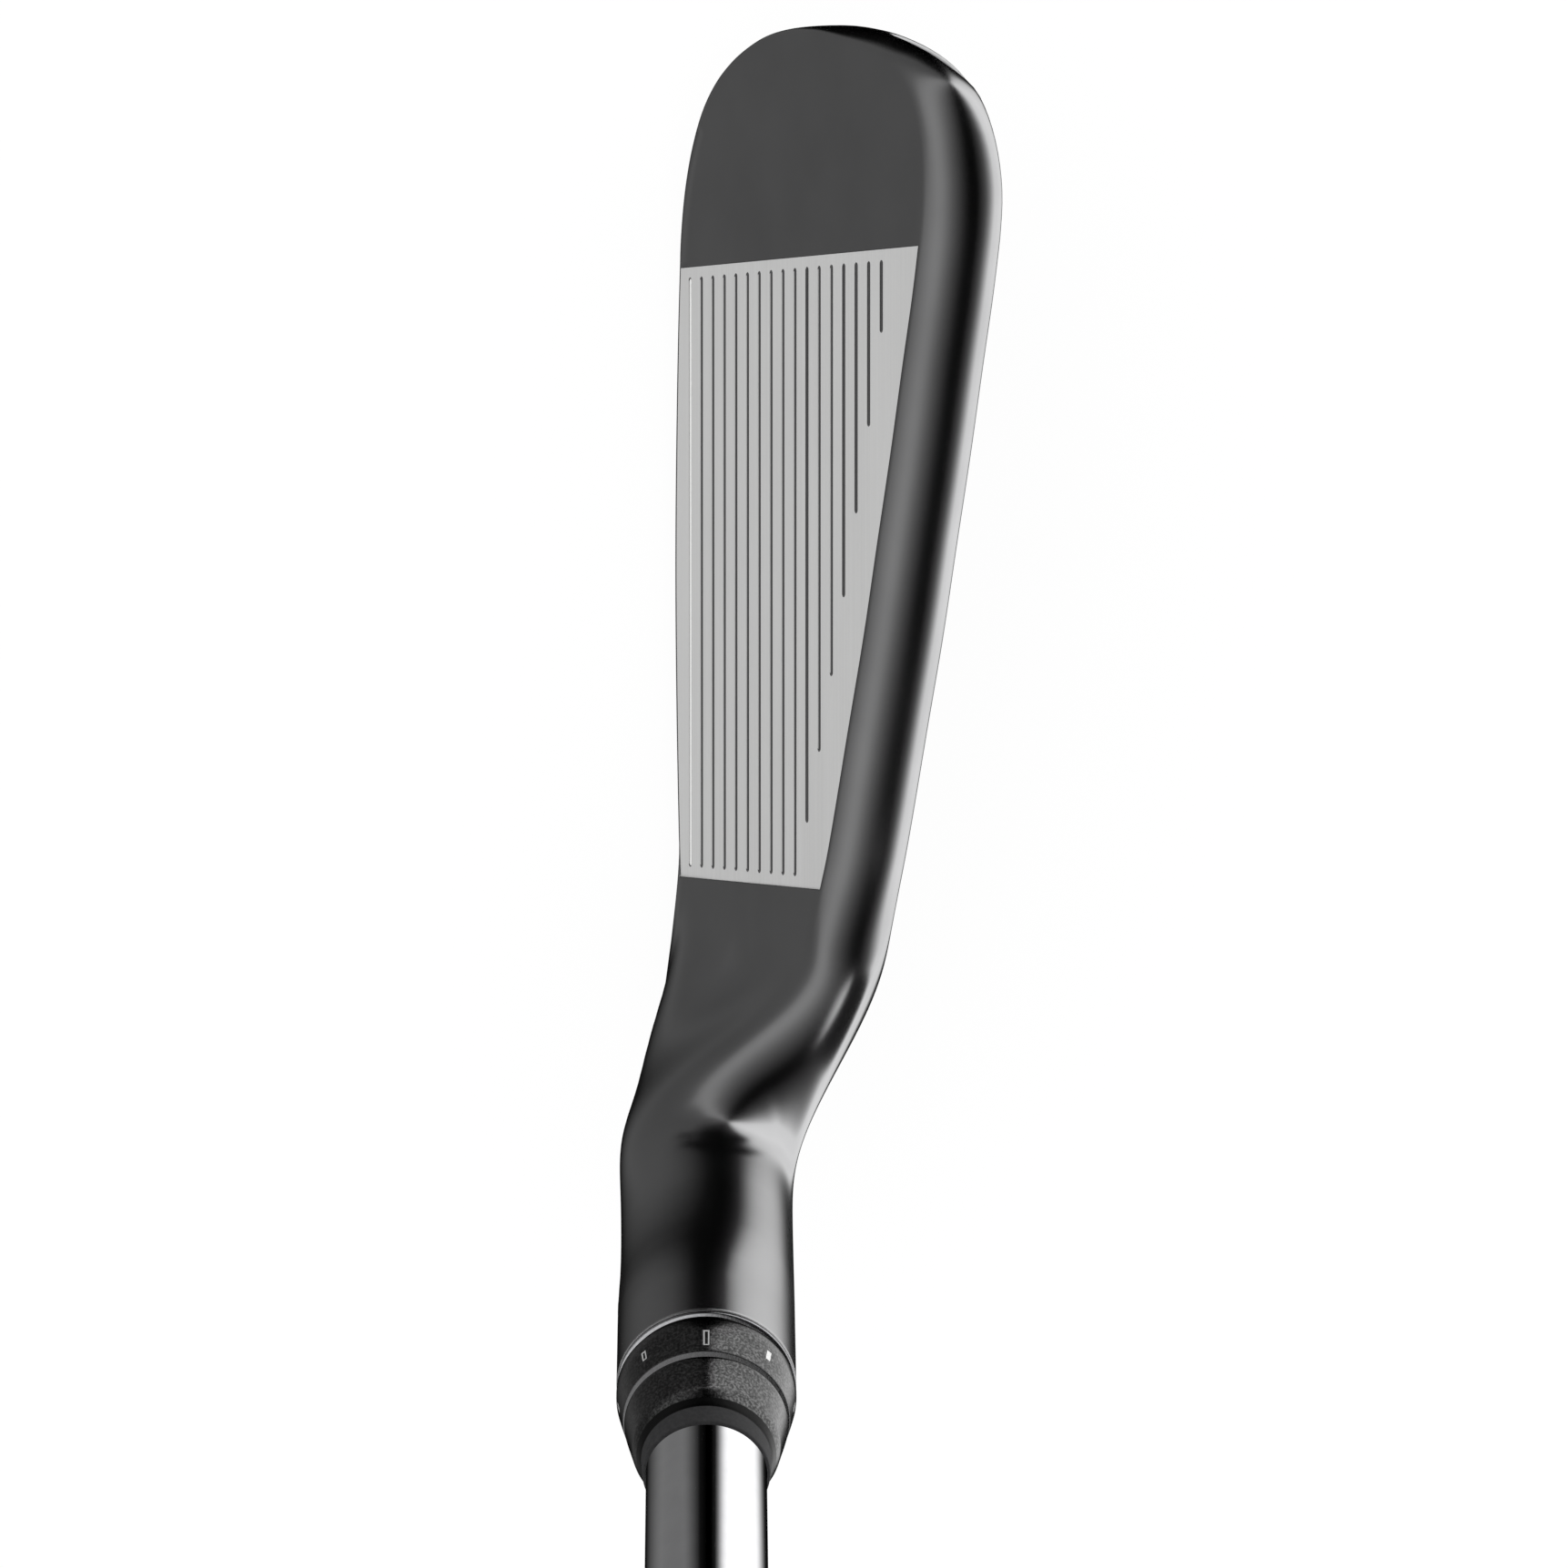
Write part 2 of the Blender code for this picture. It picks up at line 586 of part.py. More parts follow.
def add_boolean(target, name, bm, frame=CLUB_FRAME, operation="DIFFERENCE", mat=None):
    """Hidden tool that cuts, joins or limits the target. It has the target's
    material unless another is given."""
    tool = add_object(name, bm, mat or target.data.materials[0], frame)
    tool.hide_render = True
    tool.display_type = "WIRE"
    mod = target.modifiers.new(name, "BOOLEAN")
    mod.object = tool
    mod.operation = operation
    mod.solver = "EXACT"
    return tool


def face_outwards(bm):
    bmesh.ops.recalc_face_normals(bm, faces=bm.faces)
    if bm.calc_volume(signed=True) < 0:
        bmesh.ops.reverse_faces(bm, faces=bm.faces)
    return bm


def turned(profile, seg):
    """Solid of revolution about local Z from a closed list of (radius, z).
    A radius of zero stands for a flat cap at that height."""
    bm = bmesh.new()
    rings = []
    for r, z in profile:
        if r < 1e-9:
            rings.append(None)
            continue
        turns = [2 * math.pi * i / seg for i in range(seg)]
        rings.append([bm.verts.new((r * MM * math.cos(t), r * MM * math.sin(t), z * MM))
                      for t in turns])
    for i, a in enumerate(rings):
        b = rings[(i + 1) % len(rings)]
        if a is None and b is None:
            continue
        if a is None:
            bm.faces.new(b)
        elif b is None:
            bm.faces.new(a[::-1])
        else:
            for j in range(seg):
                k = (j + 1) % seg
                bm.faces.new((a[j], b[j], b[k], a[k]))
    return face_outwards(bm)


def rod(r, low, high, seg):
    return turned([(0, low), (r, low), (r, high), (0, high)], seg)


def tube(r_in, r_out, low, high, seg):
    return turned([(r_in, low), (r_out, low), (r_out, high), (r_in, high)], seg)


def prisms(outlines, low, high, place):
    """Closed prisms: 2-D outlines carried between two depths. place turns
    (u, v, depth) into a 3-D point."""
    bm = bmesh.new()
    for outline in outlines:
        a = [bm.verts.new(Vector(place(u, v, low)) * MM) for u, v in outline]
        b = [bm.verts.new(Vector(place(u, v, high)) * MM) for u, v in outline]
        bm.faces.new(a)
        bm.faces.new(b[::-1])
        for i in range(len(a)):
            j = (i + 1) % len(a)
            bm.faces.new((a[i], b[i], b[j], a[j]))
    return face_outwards(bm)


def prism(outline, low, high, place):
    return prisms([outline], low, high, place)


def on_face(x, z, depth):
    """Point at X, height z on the face plane, moved in from the face by depth."""
    return (x, face_y(z) - depth * math.cos(LOFT), z - depth * math.sin(LOFT))


def level(x, z, depth):
    """Point at X, Z and Y = -depth: for cuts that run straight back."""
    return (x, -depth, z)


def upright(x, y, height):
    return (x, y, height)


def round_corners(points, radii, n):
    """A closed polygon with some corners rounded: radii maps index to radius."""
    out = []
    for i, point in enumerate(points):
        p, a, b = (np.array(q, float)
                   for q in (point, points[i - 1], points[(i + 1) % len(points)]))
        len_a, len_b = np.linalg.norm(a - p), np.linalg.norm(b - p)
        to_a, to_b = (a - p) / len_a, (b - p) / len_b
        half = math.acos(np.clip(np.dot(to_a, to_b), -1, 1)) / 2
        if i not in radii or half > math.radians(86):
            out.append(tuple(p))
            continue
        reach = min(radii[i] / math.tan(half), 0.45 * len_a, 0.45 * len_b)
        start, end = p + to_a * reach, p + to_b * reach
        for j in range(n + 1):
            t = j / n
            out.append(tuple((1 - t) ** 2 * start + 2 * (1 - t) * t * p + t**2 * end))
    return out


def driver_socket(r, low, high):
    """Six-lobe driver socket."""
    seg = 36
    outline = []
    for i in range(seg):
        t = 2 * math.pi * i / seg
        lobe_r = r * (1 + 0.16 * math.cos(6 * t))
        outline.append((lobe_r * math.cos(t), lobe_r * math.sin(t)))
    return prism(outline, low, high, upright)


# ---------------------------------------------------------------- head body
def face_outline(inset, end_inset):
    """The flat face as (X, Z), shrunk at its long edges and at its ends."""
    xs = np.linspace(FACE_X[0] + end_inset, FACE_X[1] - end_inset, 12)
    rise = inset * math.cos(LOFT)
    return ([(x, curve(x, FACE_LOW) + rise) for x in xs]
            + [(x, curve(x, FACE_TOP) - rise) for x in xs[::-1]])


def pocket_outline():
    """Opening of the back cavity as (X, Z): under the topline, inside the toe
    and down to the muscle."""
    points = [(x, curve(x, FACE_TOP) - 2.9) for x in np.linspace(-19, 27.0, 9)]
    for deg in (80, 68, 56, 46, 37, 30):
        r = curve(deg, TOE_FACE) - 4.2
        t = math.radians(deg)
        points.append((TOE_X + r * math.cos(t), TOE_Z + r * math.sin(t)))
    toe_corner = len(points)
    points.append((40.3, ledge_z(40.3) - 0.7))
    points += [(x, ledge_z(x) - 0.9) for x in np.linspace(33, -17, 9)]
    return round_corners(points, {0: 2.2, toe_corner: 3.5, len(points) - 1: 2.2}, 4)


def undercut_outline():
    """Channel behind the lower face: wider than the window, down into the sole."""
    points = [(x, curve(x, FACE_TOP) - 3.4) for x in np.linspace(-20, 26, 8)]
    points += [(31.5, 38.5), (33.5, 30.0), (33.0, 16.0), (29.5, 10.0)]
    points += [(x, 6.6 + 0.0011 * x * x) for x in np.linspace(24, -17, 7)]
    points += [(-21.0, 10.5), (-21.5, 18.0)]
    return round_corners(points, dict.fromkeys((0, 7, 9, 10, 11, 12, 18, 19, 20), 1.5), 3)


def build_head():
    head = add_object("head_body", head_shell(), BLACK, smooth_deg=28)
    # flat where the sole touches the ground
    ground = [(-60, -30), (60, -30), (60, 30), (-60, 30)]
    add_boolean(head, "cut_ground", prism(ground, -5.0, 0.0, upright))
    seat = face_outline(PLATE_INSET - GAP, -GAP)
    add_boolean(head, "cut_face_seat", prism(seat, -2.0, SEAT_DEPTH, on_face))

    pocket = add_boolean(head, "cut_pocket", prism(pocket_outline(), 30.0, -12.0, level))
    # the pocket is kept to what lies behind the face
    behind = [(-70, -20), (70, -20), (70, 70), (-70, 70)]
    add_boolean(pocket, "keep_behind_face",
                prism(behind, SEAT_DEPTH - CUT_OVERLAP, 70.0, on_face), operation="INTERSECT")
    add_boolean(head, "cut_undercut",
                prism(undercut_outline(), SEAT_DEPTH - CUT_OVERLAP, FACE_T + 4.6, on_face))

    add_boolean(head, "cut_bore", turned([
        (0, BORE_FLOOR), (BORE_R, BORE_FLOOR), (BORE_R, MOUTH_FLOOR), (MOUTH_R, MOUTH_FLOOR),
        (MOUTH_R, 60.0), (0, 60.0)], 48), HOSEL)
    add_boolean(head, "cut_screw", turned([
        (0, -8), (4.3, -8), (4.3, 13.9), (2.85, 13.9), (2.85, 17.5), (0, 17.5)], 40), HOSEL)
    add_boolean(head, "cut_toe_weight", turned([
        (0, -4.6), (3.15, -4.6), (3.15, 5.2), (4.15, 5.2), (4.15, 20), (0, 20)], 40),
        TOE_WEIGHT)


# ---------------------------------------------------------------- face plate
def build_face_plate():
    """Plate with its scorelines cut in."""
    plate = add_object("face_plate", prism(face_outline(PLATE_INSET, 0.0), 0.0, FACE_T, on_face),
                       BLASTED, smooth_deg=20)
    half = GROOVE_W / 2 * math.cos(LOFT)
    lines = []
    for i, heel in enumerate(GROOVE_HEEL):
        z = GROOVE_FIRST_Z + i * GROOVE_PITCH * math.cos(LOFT)
        lines.append([(heel, z - half), (GROOVE_TOE, z - half),
                      (GROOVE_TOE, z + half), (heel, z + half)])
    add_boolean(plate, "cut_grooves", prisms(lines, GROOVE_D, -0.5, on_face), mat=BLACK)


# ---------------------------------------------------------------- back badge and damper
def badge_outline(inset):
    points = [(x, curve(x, FACE_TOP) - 3.9 - inset) for x in np.linspace(-17 + inset, 26.5, 8)]
    points += [(31.5 - inset * 0.7, 38.0 - inset), (32.9 - inset, 30.0)]
    points += [(x, spine_z(min(x, 26)) + 1.2 + inset)
               for x in np.linspace(30 - inset, -15.5 + inset, 8)]
    return round_corners(points, dict.fromkeys((0, 7, 8, 9, 10, 17), 1.6), 4)


def shrink(outline, distance):
    """Each point moved towards the outline's middle by a distance."""
    middle = np.mean(np.array(outline), axis=0)
    arms = [np.array(p) - middle for p in outline]
    return [tuple(middle + arm * (1 - distance / np.linalg.norm(arm))) for arm in arms]


def build_badge():
    """Core, plate on its back and a slanting bar let into the plate."""
    def layer(outline, low, high):
        return prism(outline, BADGE_DEPTH + low, BADGE_DEPTH + high, on_face)

    add_object("badge_core", layer(badge_outline(0.4), 0.0, 1.9), ELASTOMER, smooth_deg=20)
    badge = add_object("badge_plate", layer(badge_outline(0.0), 2.0, 3.1), BADGE, smooth_deg=20)
    bar = [(-9.0, 26.4), (23.5, 35.0), (24.6, 31.0), (-7.4, 22.6)]
    bar = round_corners(bar, dict.fromkeys(range(4), 1.2), 4)
    add_boolean(badge, "cut_bar", layer(bar, 2.55, 6.0))
    add_object("badge_accent", layer(shrink(bar, 0.12), 2.60, 3.35), ACCENT, smooth_deg=20)


def build_damper():
    points = [(x, 7.3 + 0.0011 * x * x) for x in np.linspace(-15, 23, 7)]
    points += [(x, spine_z(x) - 2.4) for x in np.linspace(23, -15, 7)]
    outline = round_corners(points, dict.fromkeys((0, 6, 7, 13), 1.0), 3)
    add_object("undercut_damper", prism(outline, BADGE_DEPTH, FACE_T + 4.3, on_face),
               ELASTOMER, smooth_deg=20)


# ---------------------------------------------------------------- weights and screws
# Turned profiles from here on are (radius, height along the frame's Z)
def build_toe_weight():
    screw = add_object("toe_weight_screw", turned([
        (0, -1.4), (2.95, -1.4), (3.05, -1.2), (3.05, 5.3), (3.95, 5.3), (3.95, 7.9),
        (3.6, 8.25), (0, 8.25)], 40), TUNGSTEN, TOE_WEIGHT)
    add_boolean(screw, "cut_toe_socket", driver_socket(1.75, 5.9, 12.0), TOE_WEIGHT)
    add_object("toe_weight_slug", turned([
        (0, -4.4), (2.7, -4.4), (3.05, -4.05), (3.05, -1.6), (0, -1.6)], 40),
        TUNGSTEN, TOE_WEIGHT)


def build_hosel_screw():
    screw = add_object("hosel_screw", turned([
        (0, 8.0), (3.2, 8.0), (3.55, 8.35), (3.55, 12.5), (2.45, 12.5), (2.45, 24.6),
        (2.1, 25.2), (0, 25.2)], 36), STEEL, HOSEL)
    add_boolean(screw, "cut_screw_socket", driver_socket(1.95, 4.0, 10.9), HOSEL)
    add_object("screw_washer", tube(2.6, 4.05, 12.6, 13.8, 36), STEEL, HOSEL)
    add_object("screw_retainer", tube(2.75, 4.22, 6.9, 7.8, 36), NYLON, HOSEL)


# ---------------------------------------------------------------- sleeve
def spline_outlines():
    """Eight splines, wider at the root."""
    half = math.radians(11)
    corners = [(5.4, -half * 1.25), (6.08, -half), (6.08, half), (5.4, half * 1.25)]
    turns = [2 * math.pi * i / 8 for i in range(8)]
    return [[(r * math.cos(t + a), r * math.sin(t + a)) for r, a in corners] for t in turns]


def build_sleeve():
    sleeve = add_object("adapter_sleeve", turned([
        (0, 17.2), (4.9, 17.2), (5.62, 17.95), (5.62, 49.3), (5.95, 49.6), (5.95, 55.6),
        (5.6, 55.9), (5.6, 61.4), (0, 61.4)], 40), ANODISED, HOSEL, smooth_deg=30)
    add_boolean(sleeve, "join_splines", prisms(spline_outlines(), 50.2, 55.3, upright), HOSEL,
                operation="UNION")
    add_boolean(sleeve, "cut_sleeve_bore", rod(SHAFT_R + 0.09, 31.0, 66, 40), SHAFT)
    add_boolean(sleeve, "cut_sleeve_thread", rod(3.6, 14, 25.9, 40), HOSEL)
    add_object("thread_insert", turned([
        (2.53, 17.3), (3.2, 17.3), (3.52, 17.6), (3.52, 25.8), (2.53, 25.8)], 40),
        STEEL, HOSEL)


def build_collar():
    """Thin ring on the hosel's mouth and the collar above it."""
    add_object("seat_ring", tube(6.22, 7.06, 56.06, 56.36, 48), ACCENT, HOSEL)
    add_object("adapter_collar", turned([
        (5.68, 56.42), (6.80, 56.42), (6.80, 56.86), (7.04, 57.0), (7.11, 57.2), (7.10, 58.2),
        (6.87, 59.55), (6.57, 61.02), (6.30, 61.24), (5.68, 61.24)], 48),
        ANODISED, HOSEL, smooth_deg=30)


def build_ferrule():
    ferrule = add_object("ferrule", turned([
        (0, 61.5), (6.40, 61.5), (6.46, 61.58), (6.20, 62.9), (5.82, 64.85), (5.45, 65.75),
        (5.12, 66.4), (5.08, 66.6), (5.0, 68.0), (4.94, 68.3), (0, 68.3)], 44),
        PLASTIC, HOSEL, smooth_deg=30)
    add_boolean(ferrule, "cut_ferrule_bore", turned([
        (0, 55), (SHAFT_R + 0.06, 55), (SHAFT_R + 0.08, 75), (0, 75)], 40), SHAFT)


# ---------------------------------------------------------------- shaft
def build_shaft():
    """Stepped steel tube: the radius grows by steps from tip to butt."""
    tip = 31.2
    outer = [(SHAFT_R, tip), (SHAFT_R, 68.6)]
    for step, below, above in zip(STEPS, STEP_RADII, STEP_RADII[1:]):
        outer += [(below, step - 0.6), (above, step + 0.6)]
    outer.append((STEP_RADII[-1], SHAFT_END))
    inner = [
        (SHAFT_R - 1.0, tip), (SHAFT_R - 1.0, 150), (STEP_RADII[6] - 0.5, STEPS[6]),
        (STEP_RADII[-1] - 0.45, SHAFT_END),
    ]
    add_object("shaft", turned(outer + inner[::-1], 36), CHROME, SHAFT, smooth_deg=12)


def build_tip_weight():
    add_object("tip_weight", turned([
        (0, 31.6), (3.2, 31.6), (3.58, 32.0), (3.58, 45.0), (3.2, 45.5), (0, 45.5)], 32),
        BRASS, SHAFT)


# ---------------------------------------------------------------- grip
def over_shaft(offset, start, end):
    """Profile this far outside the shaft that clears each step from start to end."""
    def radius_at(place):
        return STEP_RADII[int(np.searchsorted(STEPS, place))] + offset

    points = [(radius_at(start), start)]
    for step, below, above in zip(STEPS, STEP_RADII, STEP_RADII[1:]):
        if start < step - 0.8 < end:
            points += [(below + offset, step - 0.8), (above + offset, step - 0.75)]
    points.append((radius_at(end), end))
    return points


def build_grip_tape():
    start, end = GRIP_START + 3, SHAFT_END - 0.5
    profile = over_shaft(0.23, start, end) + over_shaft(0.05, start, end)[::-1]
    add_object("grip_tape", turned(profile, 28), TAPE, SHAFT, smooth_deg=12)


def build_grip():
    outer = [
        (9.0, GRIP_START), (9.35, GRIP_START + 1.2), (10.05, GRIP_START + 60),
        (10.9, GRIP_START + 130), (12.0, GRIP_START + 200), (13.05, CLUB_LENGTH - 24),
        (13.6, GRIP_END),
    ]
    inner = over_shaft(0.30, GRIP_START, GRIP_END)
    add_object("grip", turned(outer + inner[::-1], 36), RUBBER, SHAFT, smooth_deg=20)


def build_grip_cap():
    """Butt cap with a vent hole. Depths are below its top."""
    profile = [
        (0, 3.6), (8.1, 3.6), (8.1, 5.3), (13.5, 5.3), (13.9, 4.4), (13.9, 2.2),
        (13.2, 0.7), (11.6, 0), (0, 0),
    ]
    cap = add_object("grip_cap", turned([(r, CLUB_LENGTH - depth) for r, depth in profile], 36),
                     RUBBER, SHAFT, smooth_deg=30)
    add_boolean(cap, "cut_vent", rod(1.3, CLUB_LENGTH - 8, CLUB_LENGTH + 4, 20), SHAFT)


build_head()
build_face_plate()
build_badge()
build_damper()
build_toe_weight()
build_hosel_screw()
build_sleeve()
build_collar()
build_ferrule()
build_shaft()
build_tip_weight()
build_grip_tape()
build_grip()
build_grip_cap()
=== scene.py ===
"""Iron golf club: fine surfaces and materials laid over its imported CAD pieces.

The sole rests on the ground at Z = 0. X runs from heel (-) to toe (+), the face looks
towards +Y and leans back, and the shaft rises from the heel towards -X. Sizes are in mm
unless noted; MM turns them into metres. Angles in tables are in degrees.
"""

import json
import math
from collections import namedtuple

import bmesh
import bpy
import numpy as np
from mathutils import Matrix, Vector

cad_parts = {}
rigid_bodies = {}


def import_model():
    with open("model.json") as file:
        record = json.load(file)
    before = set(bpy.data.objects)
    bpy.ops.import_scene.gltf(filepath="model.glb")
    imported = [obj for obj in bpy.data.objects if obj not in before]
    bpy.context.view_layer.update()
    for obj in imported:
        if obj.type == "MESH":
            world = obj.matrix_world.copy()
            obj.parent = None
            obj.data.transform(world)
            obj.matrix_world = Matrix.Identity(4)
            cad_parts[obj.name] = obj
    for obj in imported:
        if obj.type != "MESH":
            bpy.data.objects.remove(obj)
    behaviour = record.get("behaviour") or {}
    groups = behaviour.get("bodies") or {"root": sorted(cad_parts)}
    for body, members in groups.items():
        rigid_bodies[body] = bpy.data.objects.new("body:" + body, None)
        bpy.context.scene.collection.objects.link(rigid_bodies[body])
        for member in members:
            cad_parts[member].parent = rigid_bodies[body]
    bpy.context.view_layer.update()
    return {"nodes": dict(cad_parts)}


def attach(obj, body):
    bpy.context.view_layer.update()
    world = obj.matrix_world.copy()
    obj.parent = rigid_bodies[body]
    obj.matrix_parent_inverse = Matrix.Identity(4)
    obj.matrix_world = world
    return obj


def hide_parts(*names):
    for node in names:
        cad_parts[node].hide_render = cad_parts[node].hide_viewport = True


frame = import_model()

# ---------------------------------------------------------------- main dimensions
MM = 0.001
LOFT = math.radians(25.0)        # face lean from the vertical
LIE = math.radians(62.5)         # hosel axis above the ground
TILT = math.radians(1.0)         # shaft bore against the hosel axis, set by the sleeve
FACE_Y = 8.69                    # Y of the face plane at ground level
FACE_SLOPE = math.tan(LOFT)
HOSEL_FOOT = np.array([-38.4, 5.0, 0.0])    # hosel axis meets the ground here
HOSEL_Y = HOSEL_FOOT[1]
HOSEL_TOP = 56.0                 # along the hosel axis from the ground
HOSEL_R = 7.12
BEND_R = 29.0                    # radius of the bend from hosel to blade
BEND_START = 34.0                # the bend starts here on the hosel axis
TOE_X, TOE_Z = 26.5, 22.0        # centre of the toe's fan of sections
BORE_R = 5.75                    # hosel bore
MOUTH_R = 6.20                   # wider mouth that takes the sleeve's splines
MOUTH_FLOOR = 49.0
BORE_FLOOR = 16.0
FACE_T = 2.6                     # face plate thickness
FACE_X = (-26.0, 26.0)           # heel and toe ends of the face plate
PLATE_GAP = 0.10                 # along the plate's top and bottom edges
GROOVES = 17
GROOVE_PITCH = 2.286
GROOVE_W = 0.55
GROOVE_X = (-25.1, 25.15)        # ends of the full-length grooves
GROOVE_Z = 5.0                   # height of the lowest groove
GROOVE_HEEL = (-20.6, -14.7, -8.45, -2.0, 4.8, 11.8, 19.3)   # heel ends of the upper seven
SHAFT_R = 4.70                   # tip radius
SHAFT_BUTT_R = 7.62
CLUB_LENGTH = 962.0              # along the shaft, ground to butt cap
GRIP_LENGTH = 267.0
PIVOT = 64.0                     # hosel and shaft axes cross here

HOSEL_AXIS = np.array([-math.cos(LIE), 0.0, math.sin(LIE)])
ACROSS = np.array([math.sin(LIE), 0.0, math.cos(LIE)])      # across it, to the toe
BEND_C = HOSEL_FOOT + BEND_START * HOSEL_AXIS + BEND_R * ACROSS
SHAFT_AXIS = np.array([-math.cos(LIE - TILT), 0.0, math.sin(LIE - TILT)])


# ---------------------------------------------------------------- curve helpers
def curve(x, table):
    """Smooth curve through the table's points, by cubic Hermite spans."""
    points = np.array(table, float)
    px, py = points[:, 0], points[:, 1]
    slope = np.gradient(py, px)
    x = float(np.clip(x, px[0], px[-1]))
    i = int(np.clip(np.searchsorted(px, x) - 1, 0, len(px) - 2))
    width = px[i + 1] - px[i]
    t = (x - px[i]) / width
    return float(
        (2 * t**3 - 3 * t**2 + 1) * py[i]
        + (t**3 - 2 * t**2 + t) * width * slope[i]
        + (-2 * t**3 + 3 * t**2) * py[i + 1]
        + (t**3 - t**2) * width * slope[i + 1]
    )


def share(x, table):
    """A curve held between 0 and 1."""
    return min(max(curve(x, table), 0.0), 1.0)


def mix(first, second, t):
    return first * (1 - t) + second * t


def soft_min(a, b, width):
    near = max(width - abs(a - b), 0.0) / width
    return min(a, b) - near * near * width / 4


def smooth(x, low, high):
    t = min(max((x - low) / (high - low), 0.0), 1.0)
    return t * t * (3 - 2 * t)


def bezier(p0, p1, p2, p3, count):
    t = np.linspace(0, 1, count + 1)[:, None]
    p0, p1, p2, p3 = (np.array(p, float) for p in (p0, p1, p2, p3))
    return (1 - t) ** 3 * p0 + 3 * (1 - t) ** 2 * t * p1 + 3 * (1 - t) * t**2 * p2 + t**3 * p3


# ---------------------------------------------------------------- head outlines
# (X, Z): top and bottom edges of the flat face, lowest line of the sole, and the
# spine that the blade's sections are split along
FACE_TOP = [
    (-34, 25.6), (-25.8, 28.3), (-20.1, 30.3), (-12.6, 32.8), (-5.2, 35.3), (2.2, 37.5),
    (9.5, 39.7), (16.7, 41.7), (22.5, 43.35), (26.5, 44.3), (30, 45.0)]
FACE_LOW = [
    (-40, 3.9), (-30, 3.35), (-25, 3.1), (-12, 2.6), (0, 2.4), (12, 2.6), (25, 3.15),
    (26.5, 3.25), (30, 3.55)]
SOLE = [
    (-40, 2.4), (-30, 1.45), (-25, 0.98), (-12, 0.14), (0, -0.12), (12, 0.16), (25, 1.02),
    (26.5, 1.15), (30, 1.5)]
SPINE = [
    (-29, 14.55), (-28.4, 14.56), (-20, 15.2), (-8, 16.6), (6, 18.5), (18, 20.5),
    (26.5, 22.0), (28, 22.3)]
# (angle, radius) about the toe centre: edge of the flat face, then outermost rim
TOE_FACE = [
    (-90, 18.75), (-80, 18.75), (-69, 18.95), (-59, 19.2), (-49, 19.4), (-39, 19.25),
    (-31, 18.95), (-20, 18.55), (-12, 18.4), (0, 18.3), (13, 18.5), (29, 19.3), (43.6, 21.0),
    (52, 22.5), (60, 23.5), (70, 23.75), (80, 23.15), (90, 22.3)]
TOE_RIM = [
    (-90, 20.85), (-80, 20.5), (-69, 20.35), (-59, 20.3), (-49, 20.2), (-39, 19.75),
    (-31, 19.3), (-20, 18.85), (-12, 18.65), (0, 18.6), (13, 18.9), (29, 20.05), (43.6, 22.3),
    (52, 24.0), (60, 25.3), (70, 25.9), (80, 25.5), (90, 24.7)]
# (angle, thickness) of the upper frame's rim round the toe
TOE_THICK = [
    (-90, 5.0), (0, 5.0), (30, 5.0), (44, 5.1), (57, 5.4), (70, 5.9), (80, 6.3), (90, 6.4)]
LEDGE = 24.0                     # angle of the muscle's top line at the toe
MUSCLE_Y, FRAME_Y = -17.0, -14.0     # backs of the muscle and of the frame at the toe
# (X, Y) of the back: the heel's part, then on along the muscle and along the frame
HEEL_BACK = [
    (-56, -2.0), (-50, -2.4), (-46.4, -3.3), (-44, -4.3), (-40.9, -6.0), (-37.2, -7.85),
    (-33.5, -9.2), (-28.5, -10.35)]
MUSCLE_BACK = HEEL_BACK + [
    (-20.8, -11.8), (-13, -13.0), (2.3, -15.3), (10, -16.3), (17.7, -16.9), (30, -17.0)]
FRAME_BACK = HEEL_BACK + [(-20.8, -11.4), (-13, -12.2), (2.3, -13.4), (10, -13.8), (30, -14.0)]
# By angle round the bend: how far the face and topline step forward, and how far the
# lower rim and the back have gone over to the round hosel
FORWARD = [
    (-6, 0), (0, 0.25), (5, 0.75), (10, 1.3), (20, 2.1), (30, 3.2), (38, 4.5), (44, 5.6),
    (60, 6.2)]
LOW_SHARE = [
    (-8, 0), (-2, 0.10), (2, 0.30), (6, 0.50), (13, 0.70), (20, 0.83), (27, 0.93), (34, 0.99),
    (40, 1)]
BACK_SHARE = [(26, 0), (34, 0.15), (42, 0.52), (50, 0.88), (57, 1)]

# Steps of half a section: face, over the rim, down its back edge, across the back
FACE_N, RIM_N, EDGE_N, BACK_N = 12, 14, 18, 14
TOP_N = FACE_N + RIM_N
HALF_N = TOP_N + EDGE_N + BACK_N
PART_ENDS = (0, FACE_N, TOP_N, TOP_N + EDGE_N, HALF_N)
# Angles at those ends, round the hosel's circle and round its barrel
CIRCLE_DEG = (0, 46, 92, 140, 180)
BARREL_DEG = (0, 101, 146, 168, 180)

# Rows of sections. The hosel is faired on a fine grid, then thinned.
HOSEL_GRID, HOSEL_ROWS, BEND_ROWS, BLADE_ROWS = 20, 8, 64, 64
# Angles of the toe's rows, closest on both sides of the ledge
TOE_ROWS = [*np.linspace(90, 32, 26), *np.linspace(30.5, 20.5, 24), *np.linspace(19, 0, 12)]

TOP_RIM_RISE = 2.4               # topline above the flat face
LOW_RIM_RISE = 2.35              # sole below the flat face, once well into the bend
# Rim shape: depth of its crest, fall of its back edge, crease at the face's edge
TOP_RIM = {"apex": 4.35, "drop": 1.6, "crease": math.radians(15)}
SOLE_RIM = {"apex": 7.4, "drop": 6.3, "crease": 0.0}

# Fairing of the heel: degrees of bend where it runs in and out, then passes
FAIR_IN, FAIR_OUT, FAIR_ACROSS = (-12, 6), (68, 90), (6, 28)
FAIR_PASSES, FAIR_RESTORES, FAIR_LAST = 200, 3, 26


def muscle_y(x):
    return curve(x, MUSCLE_BACK)


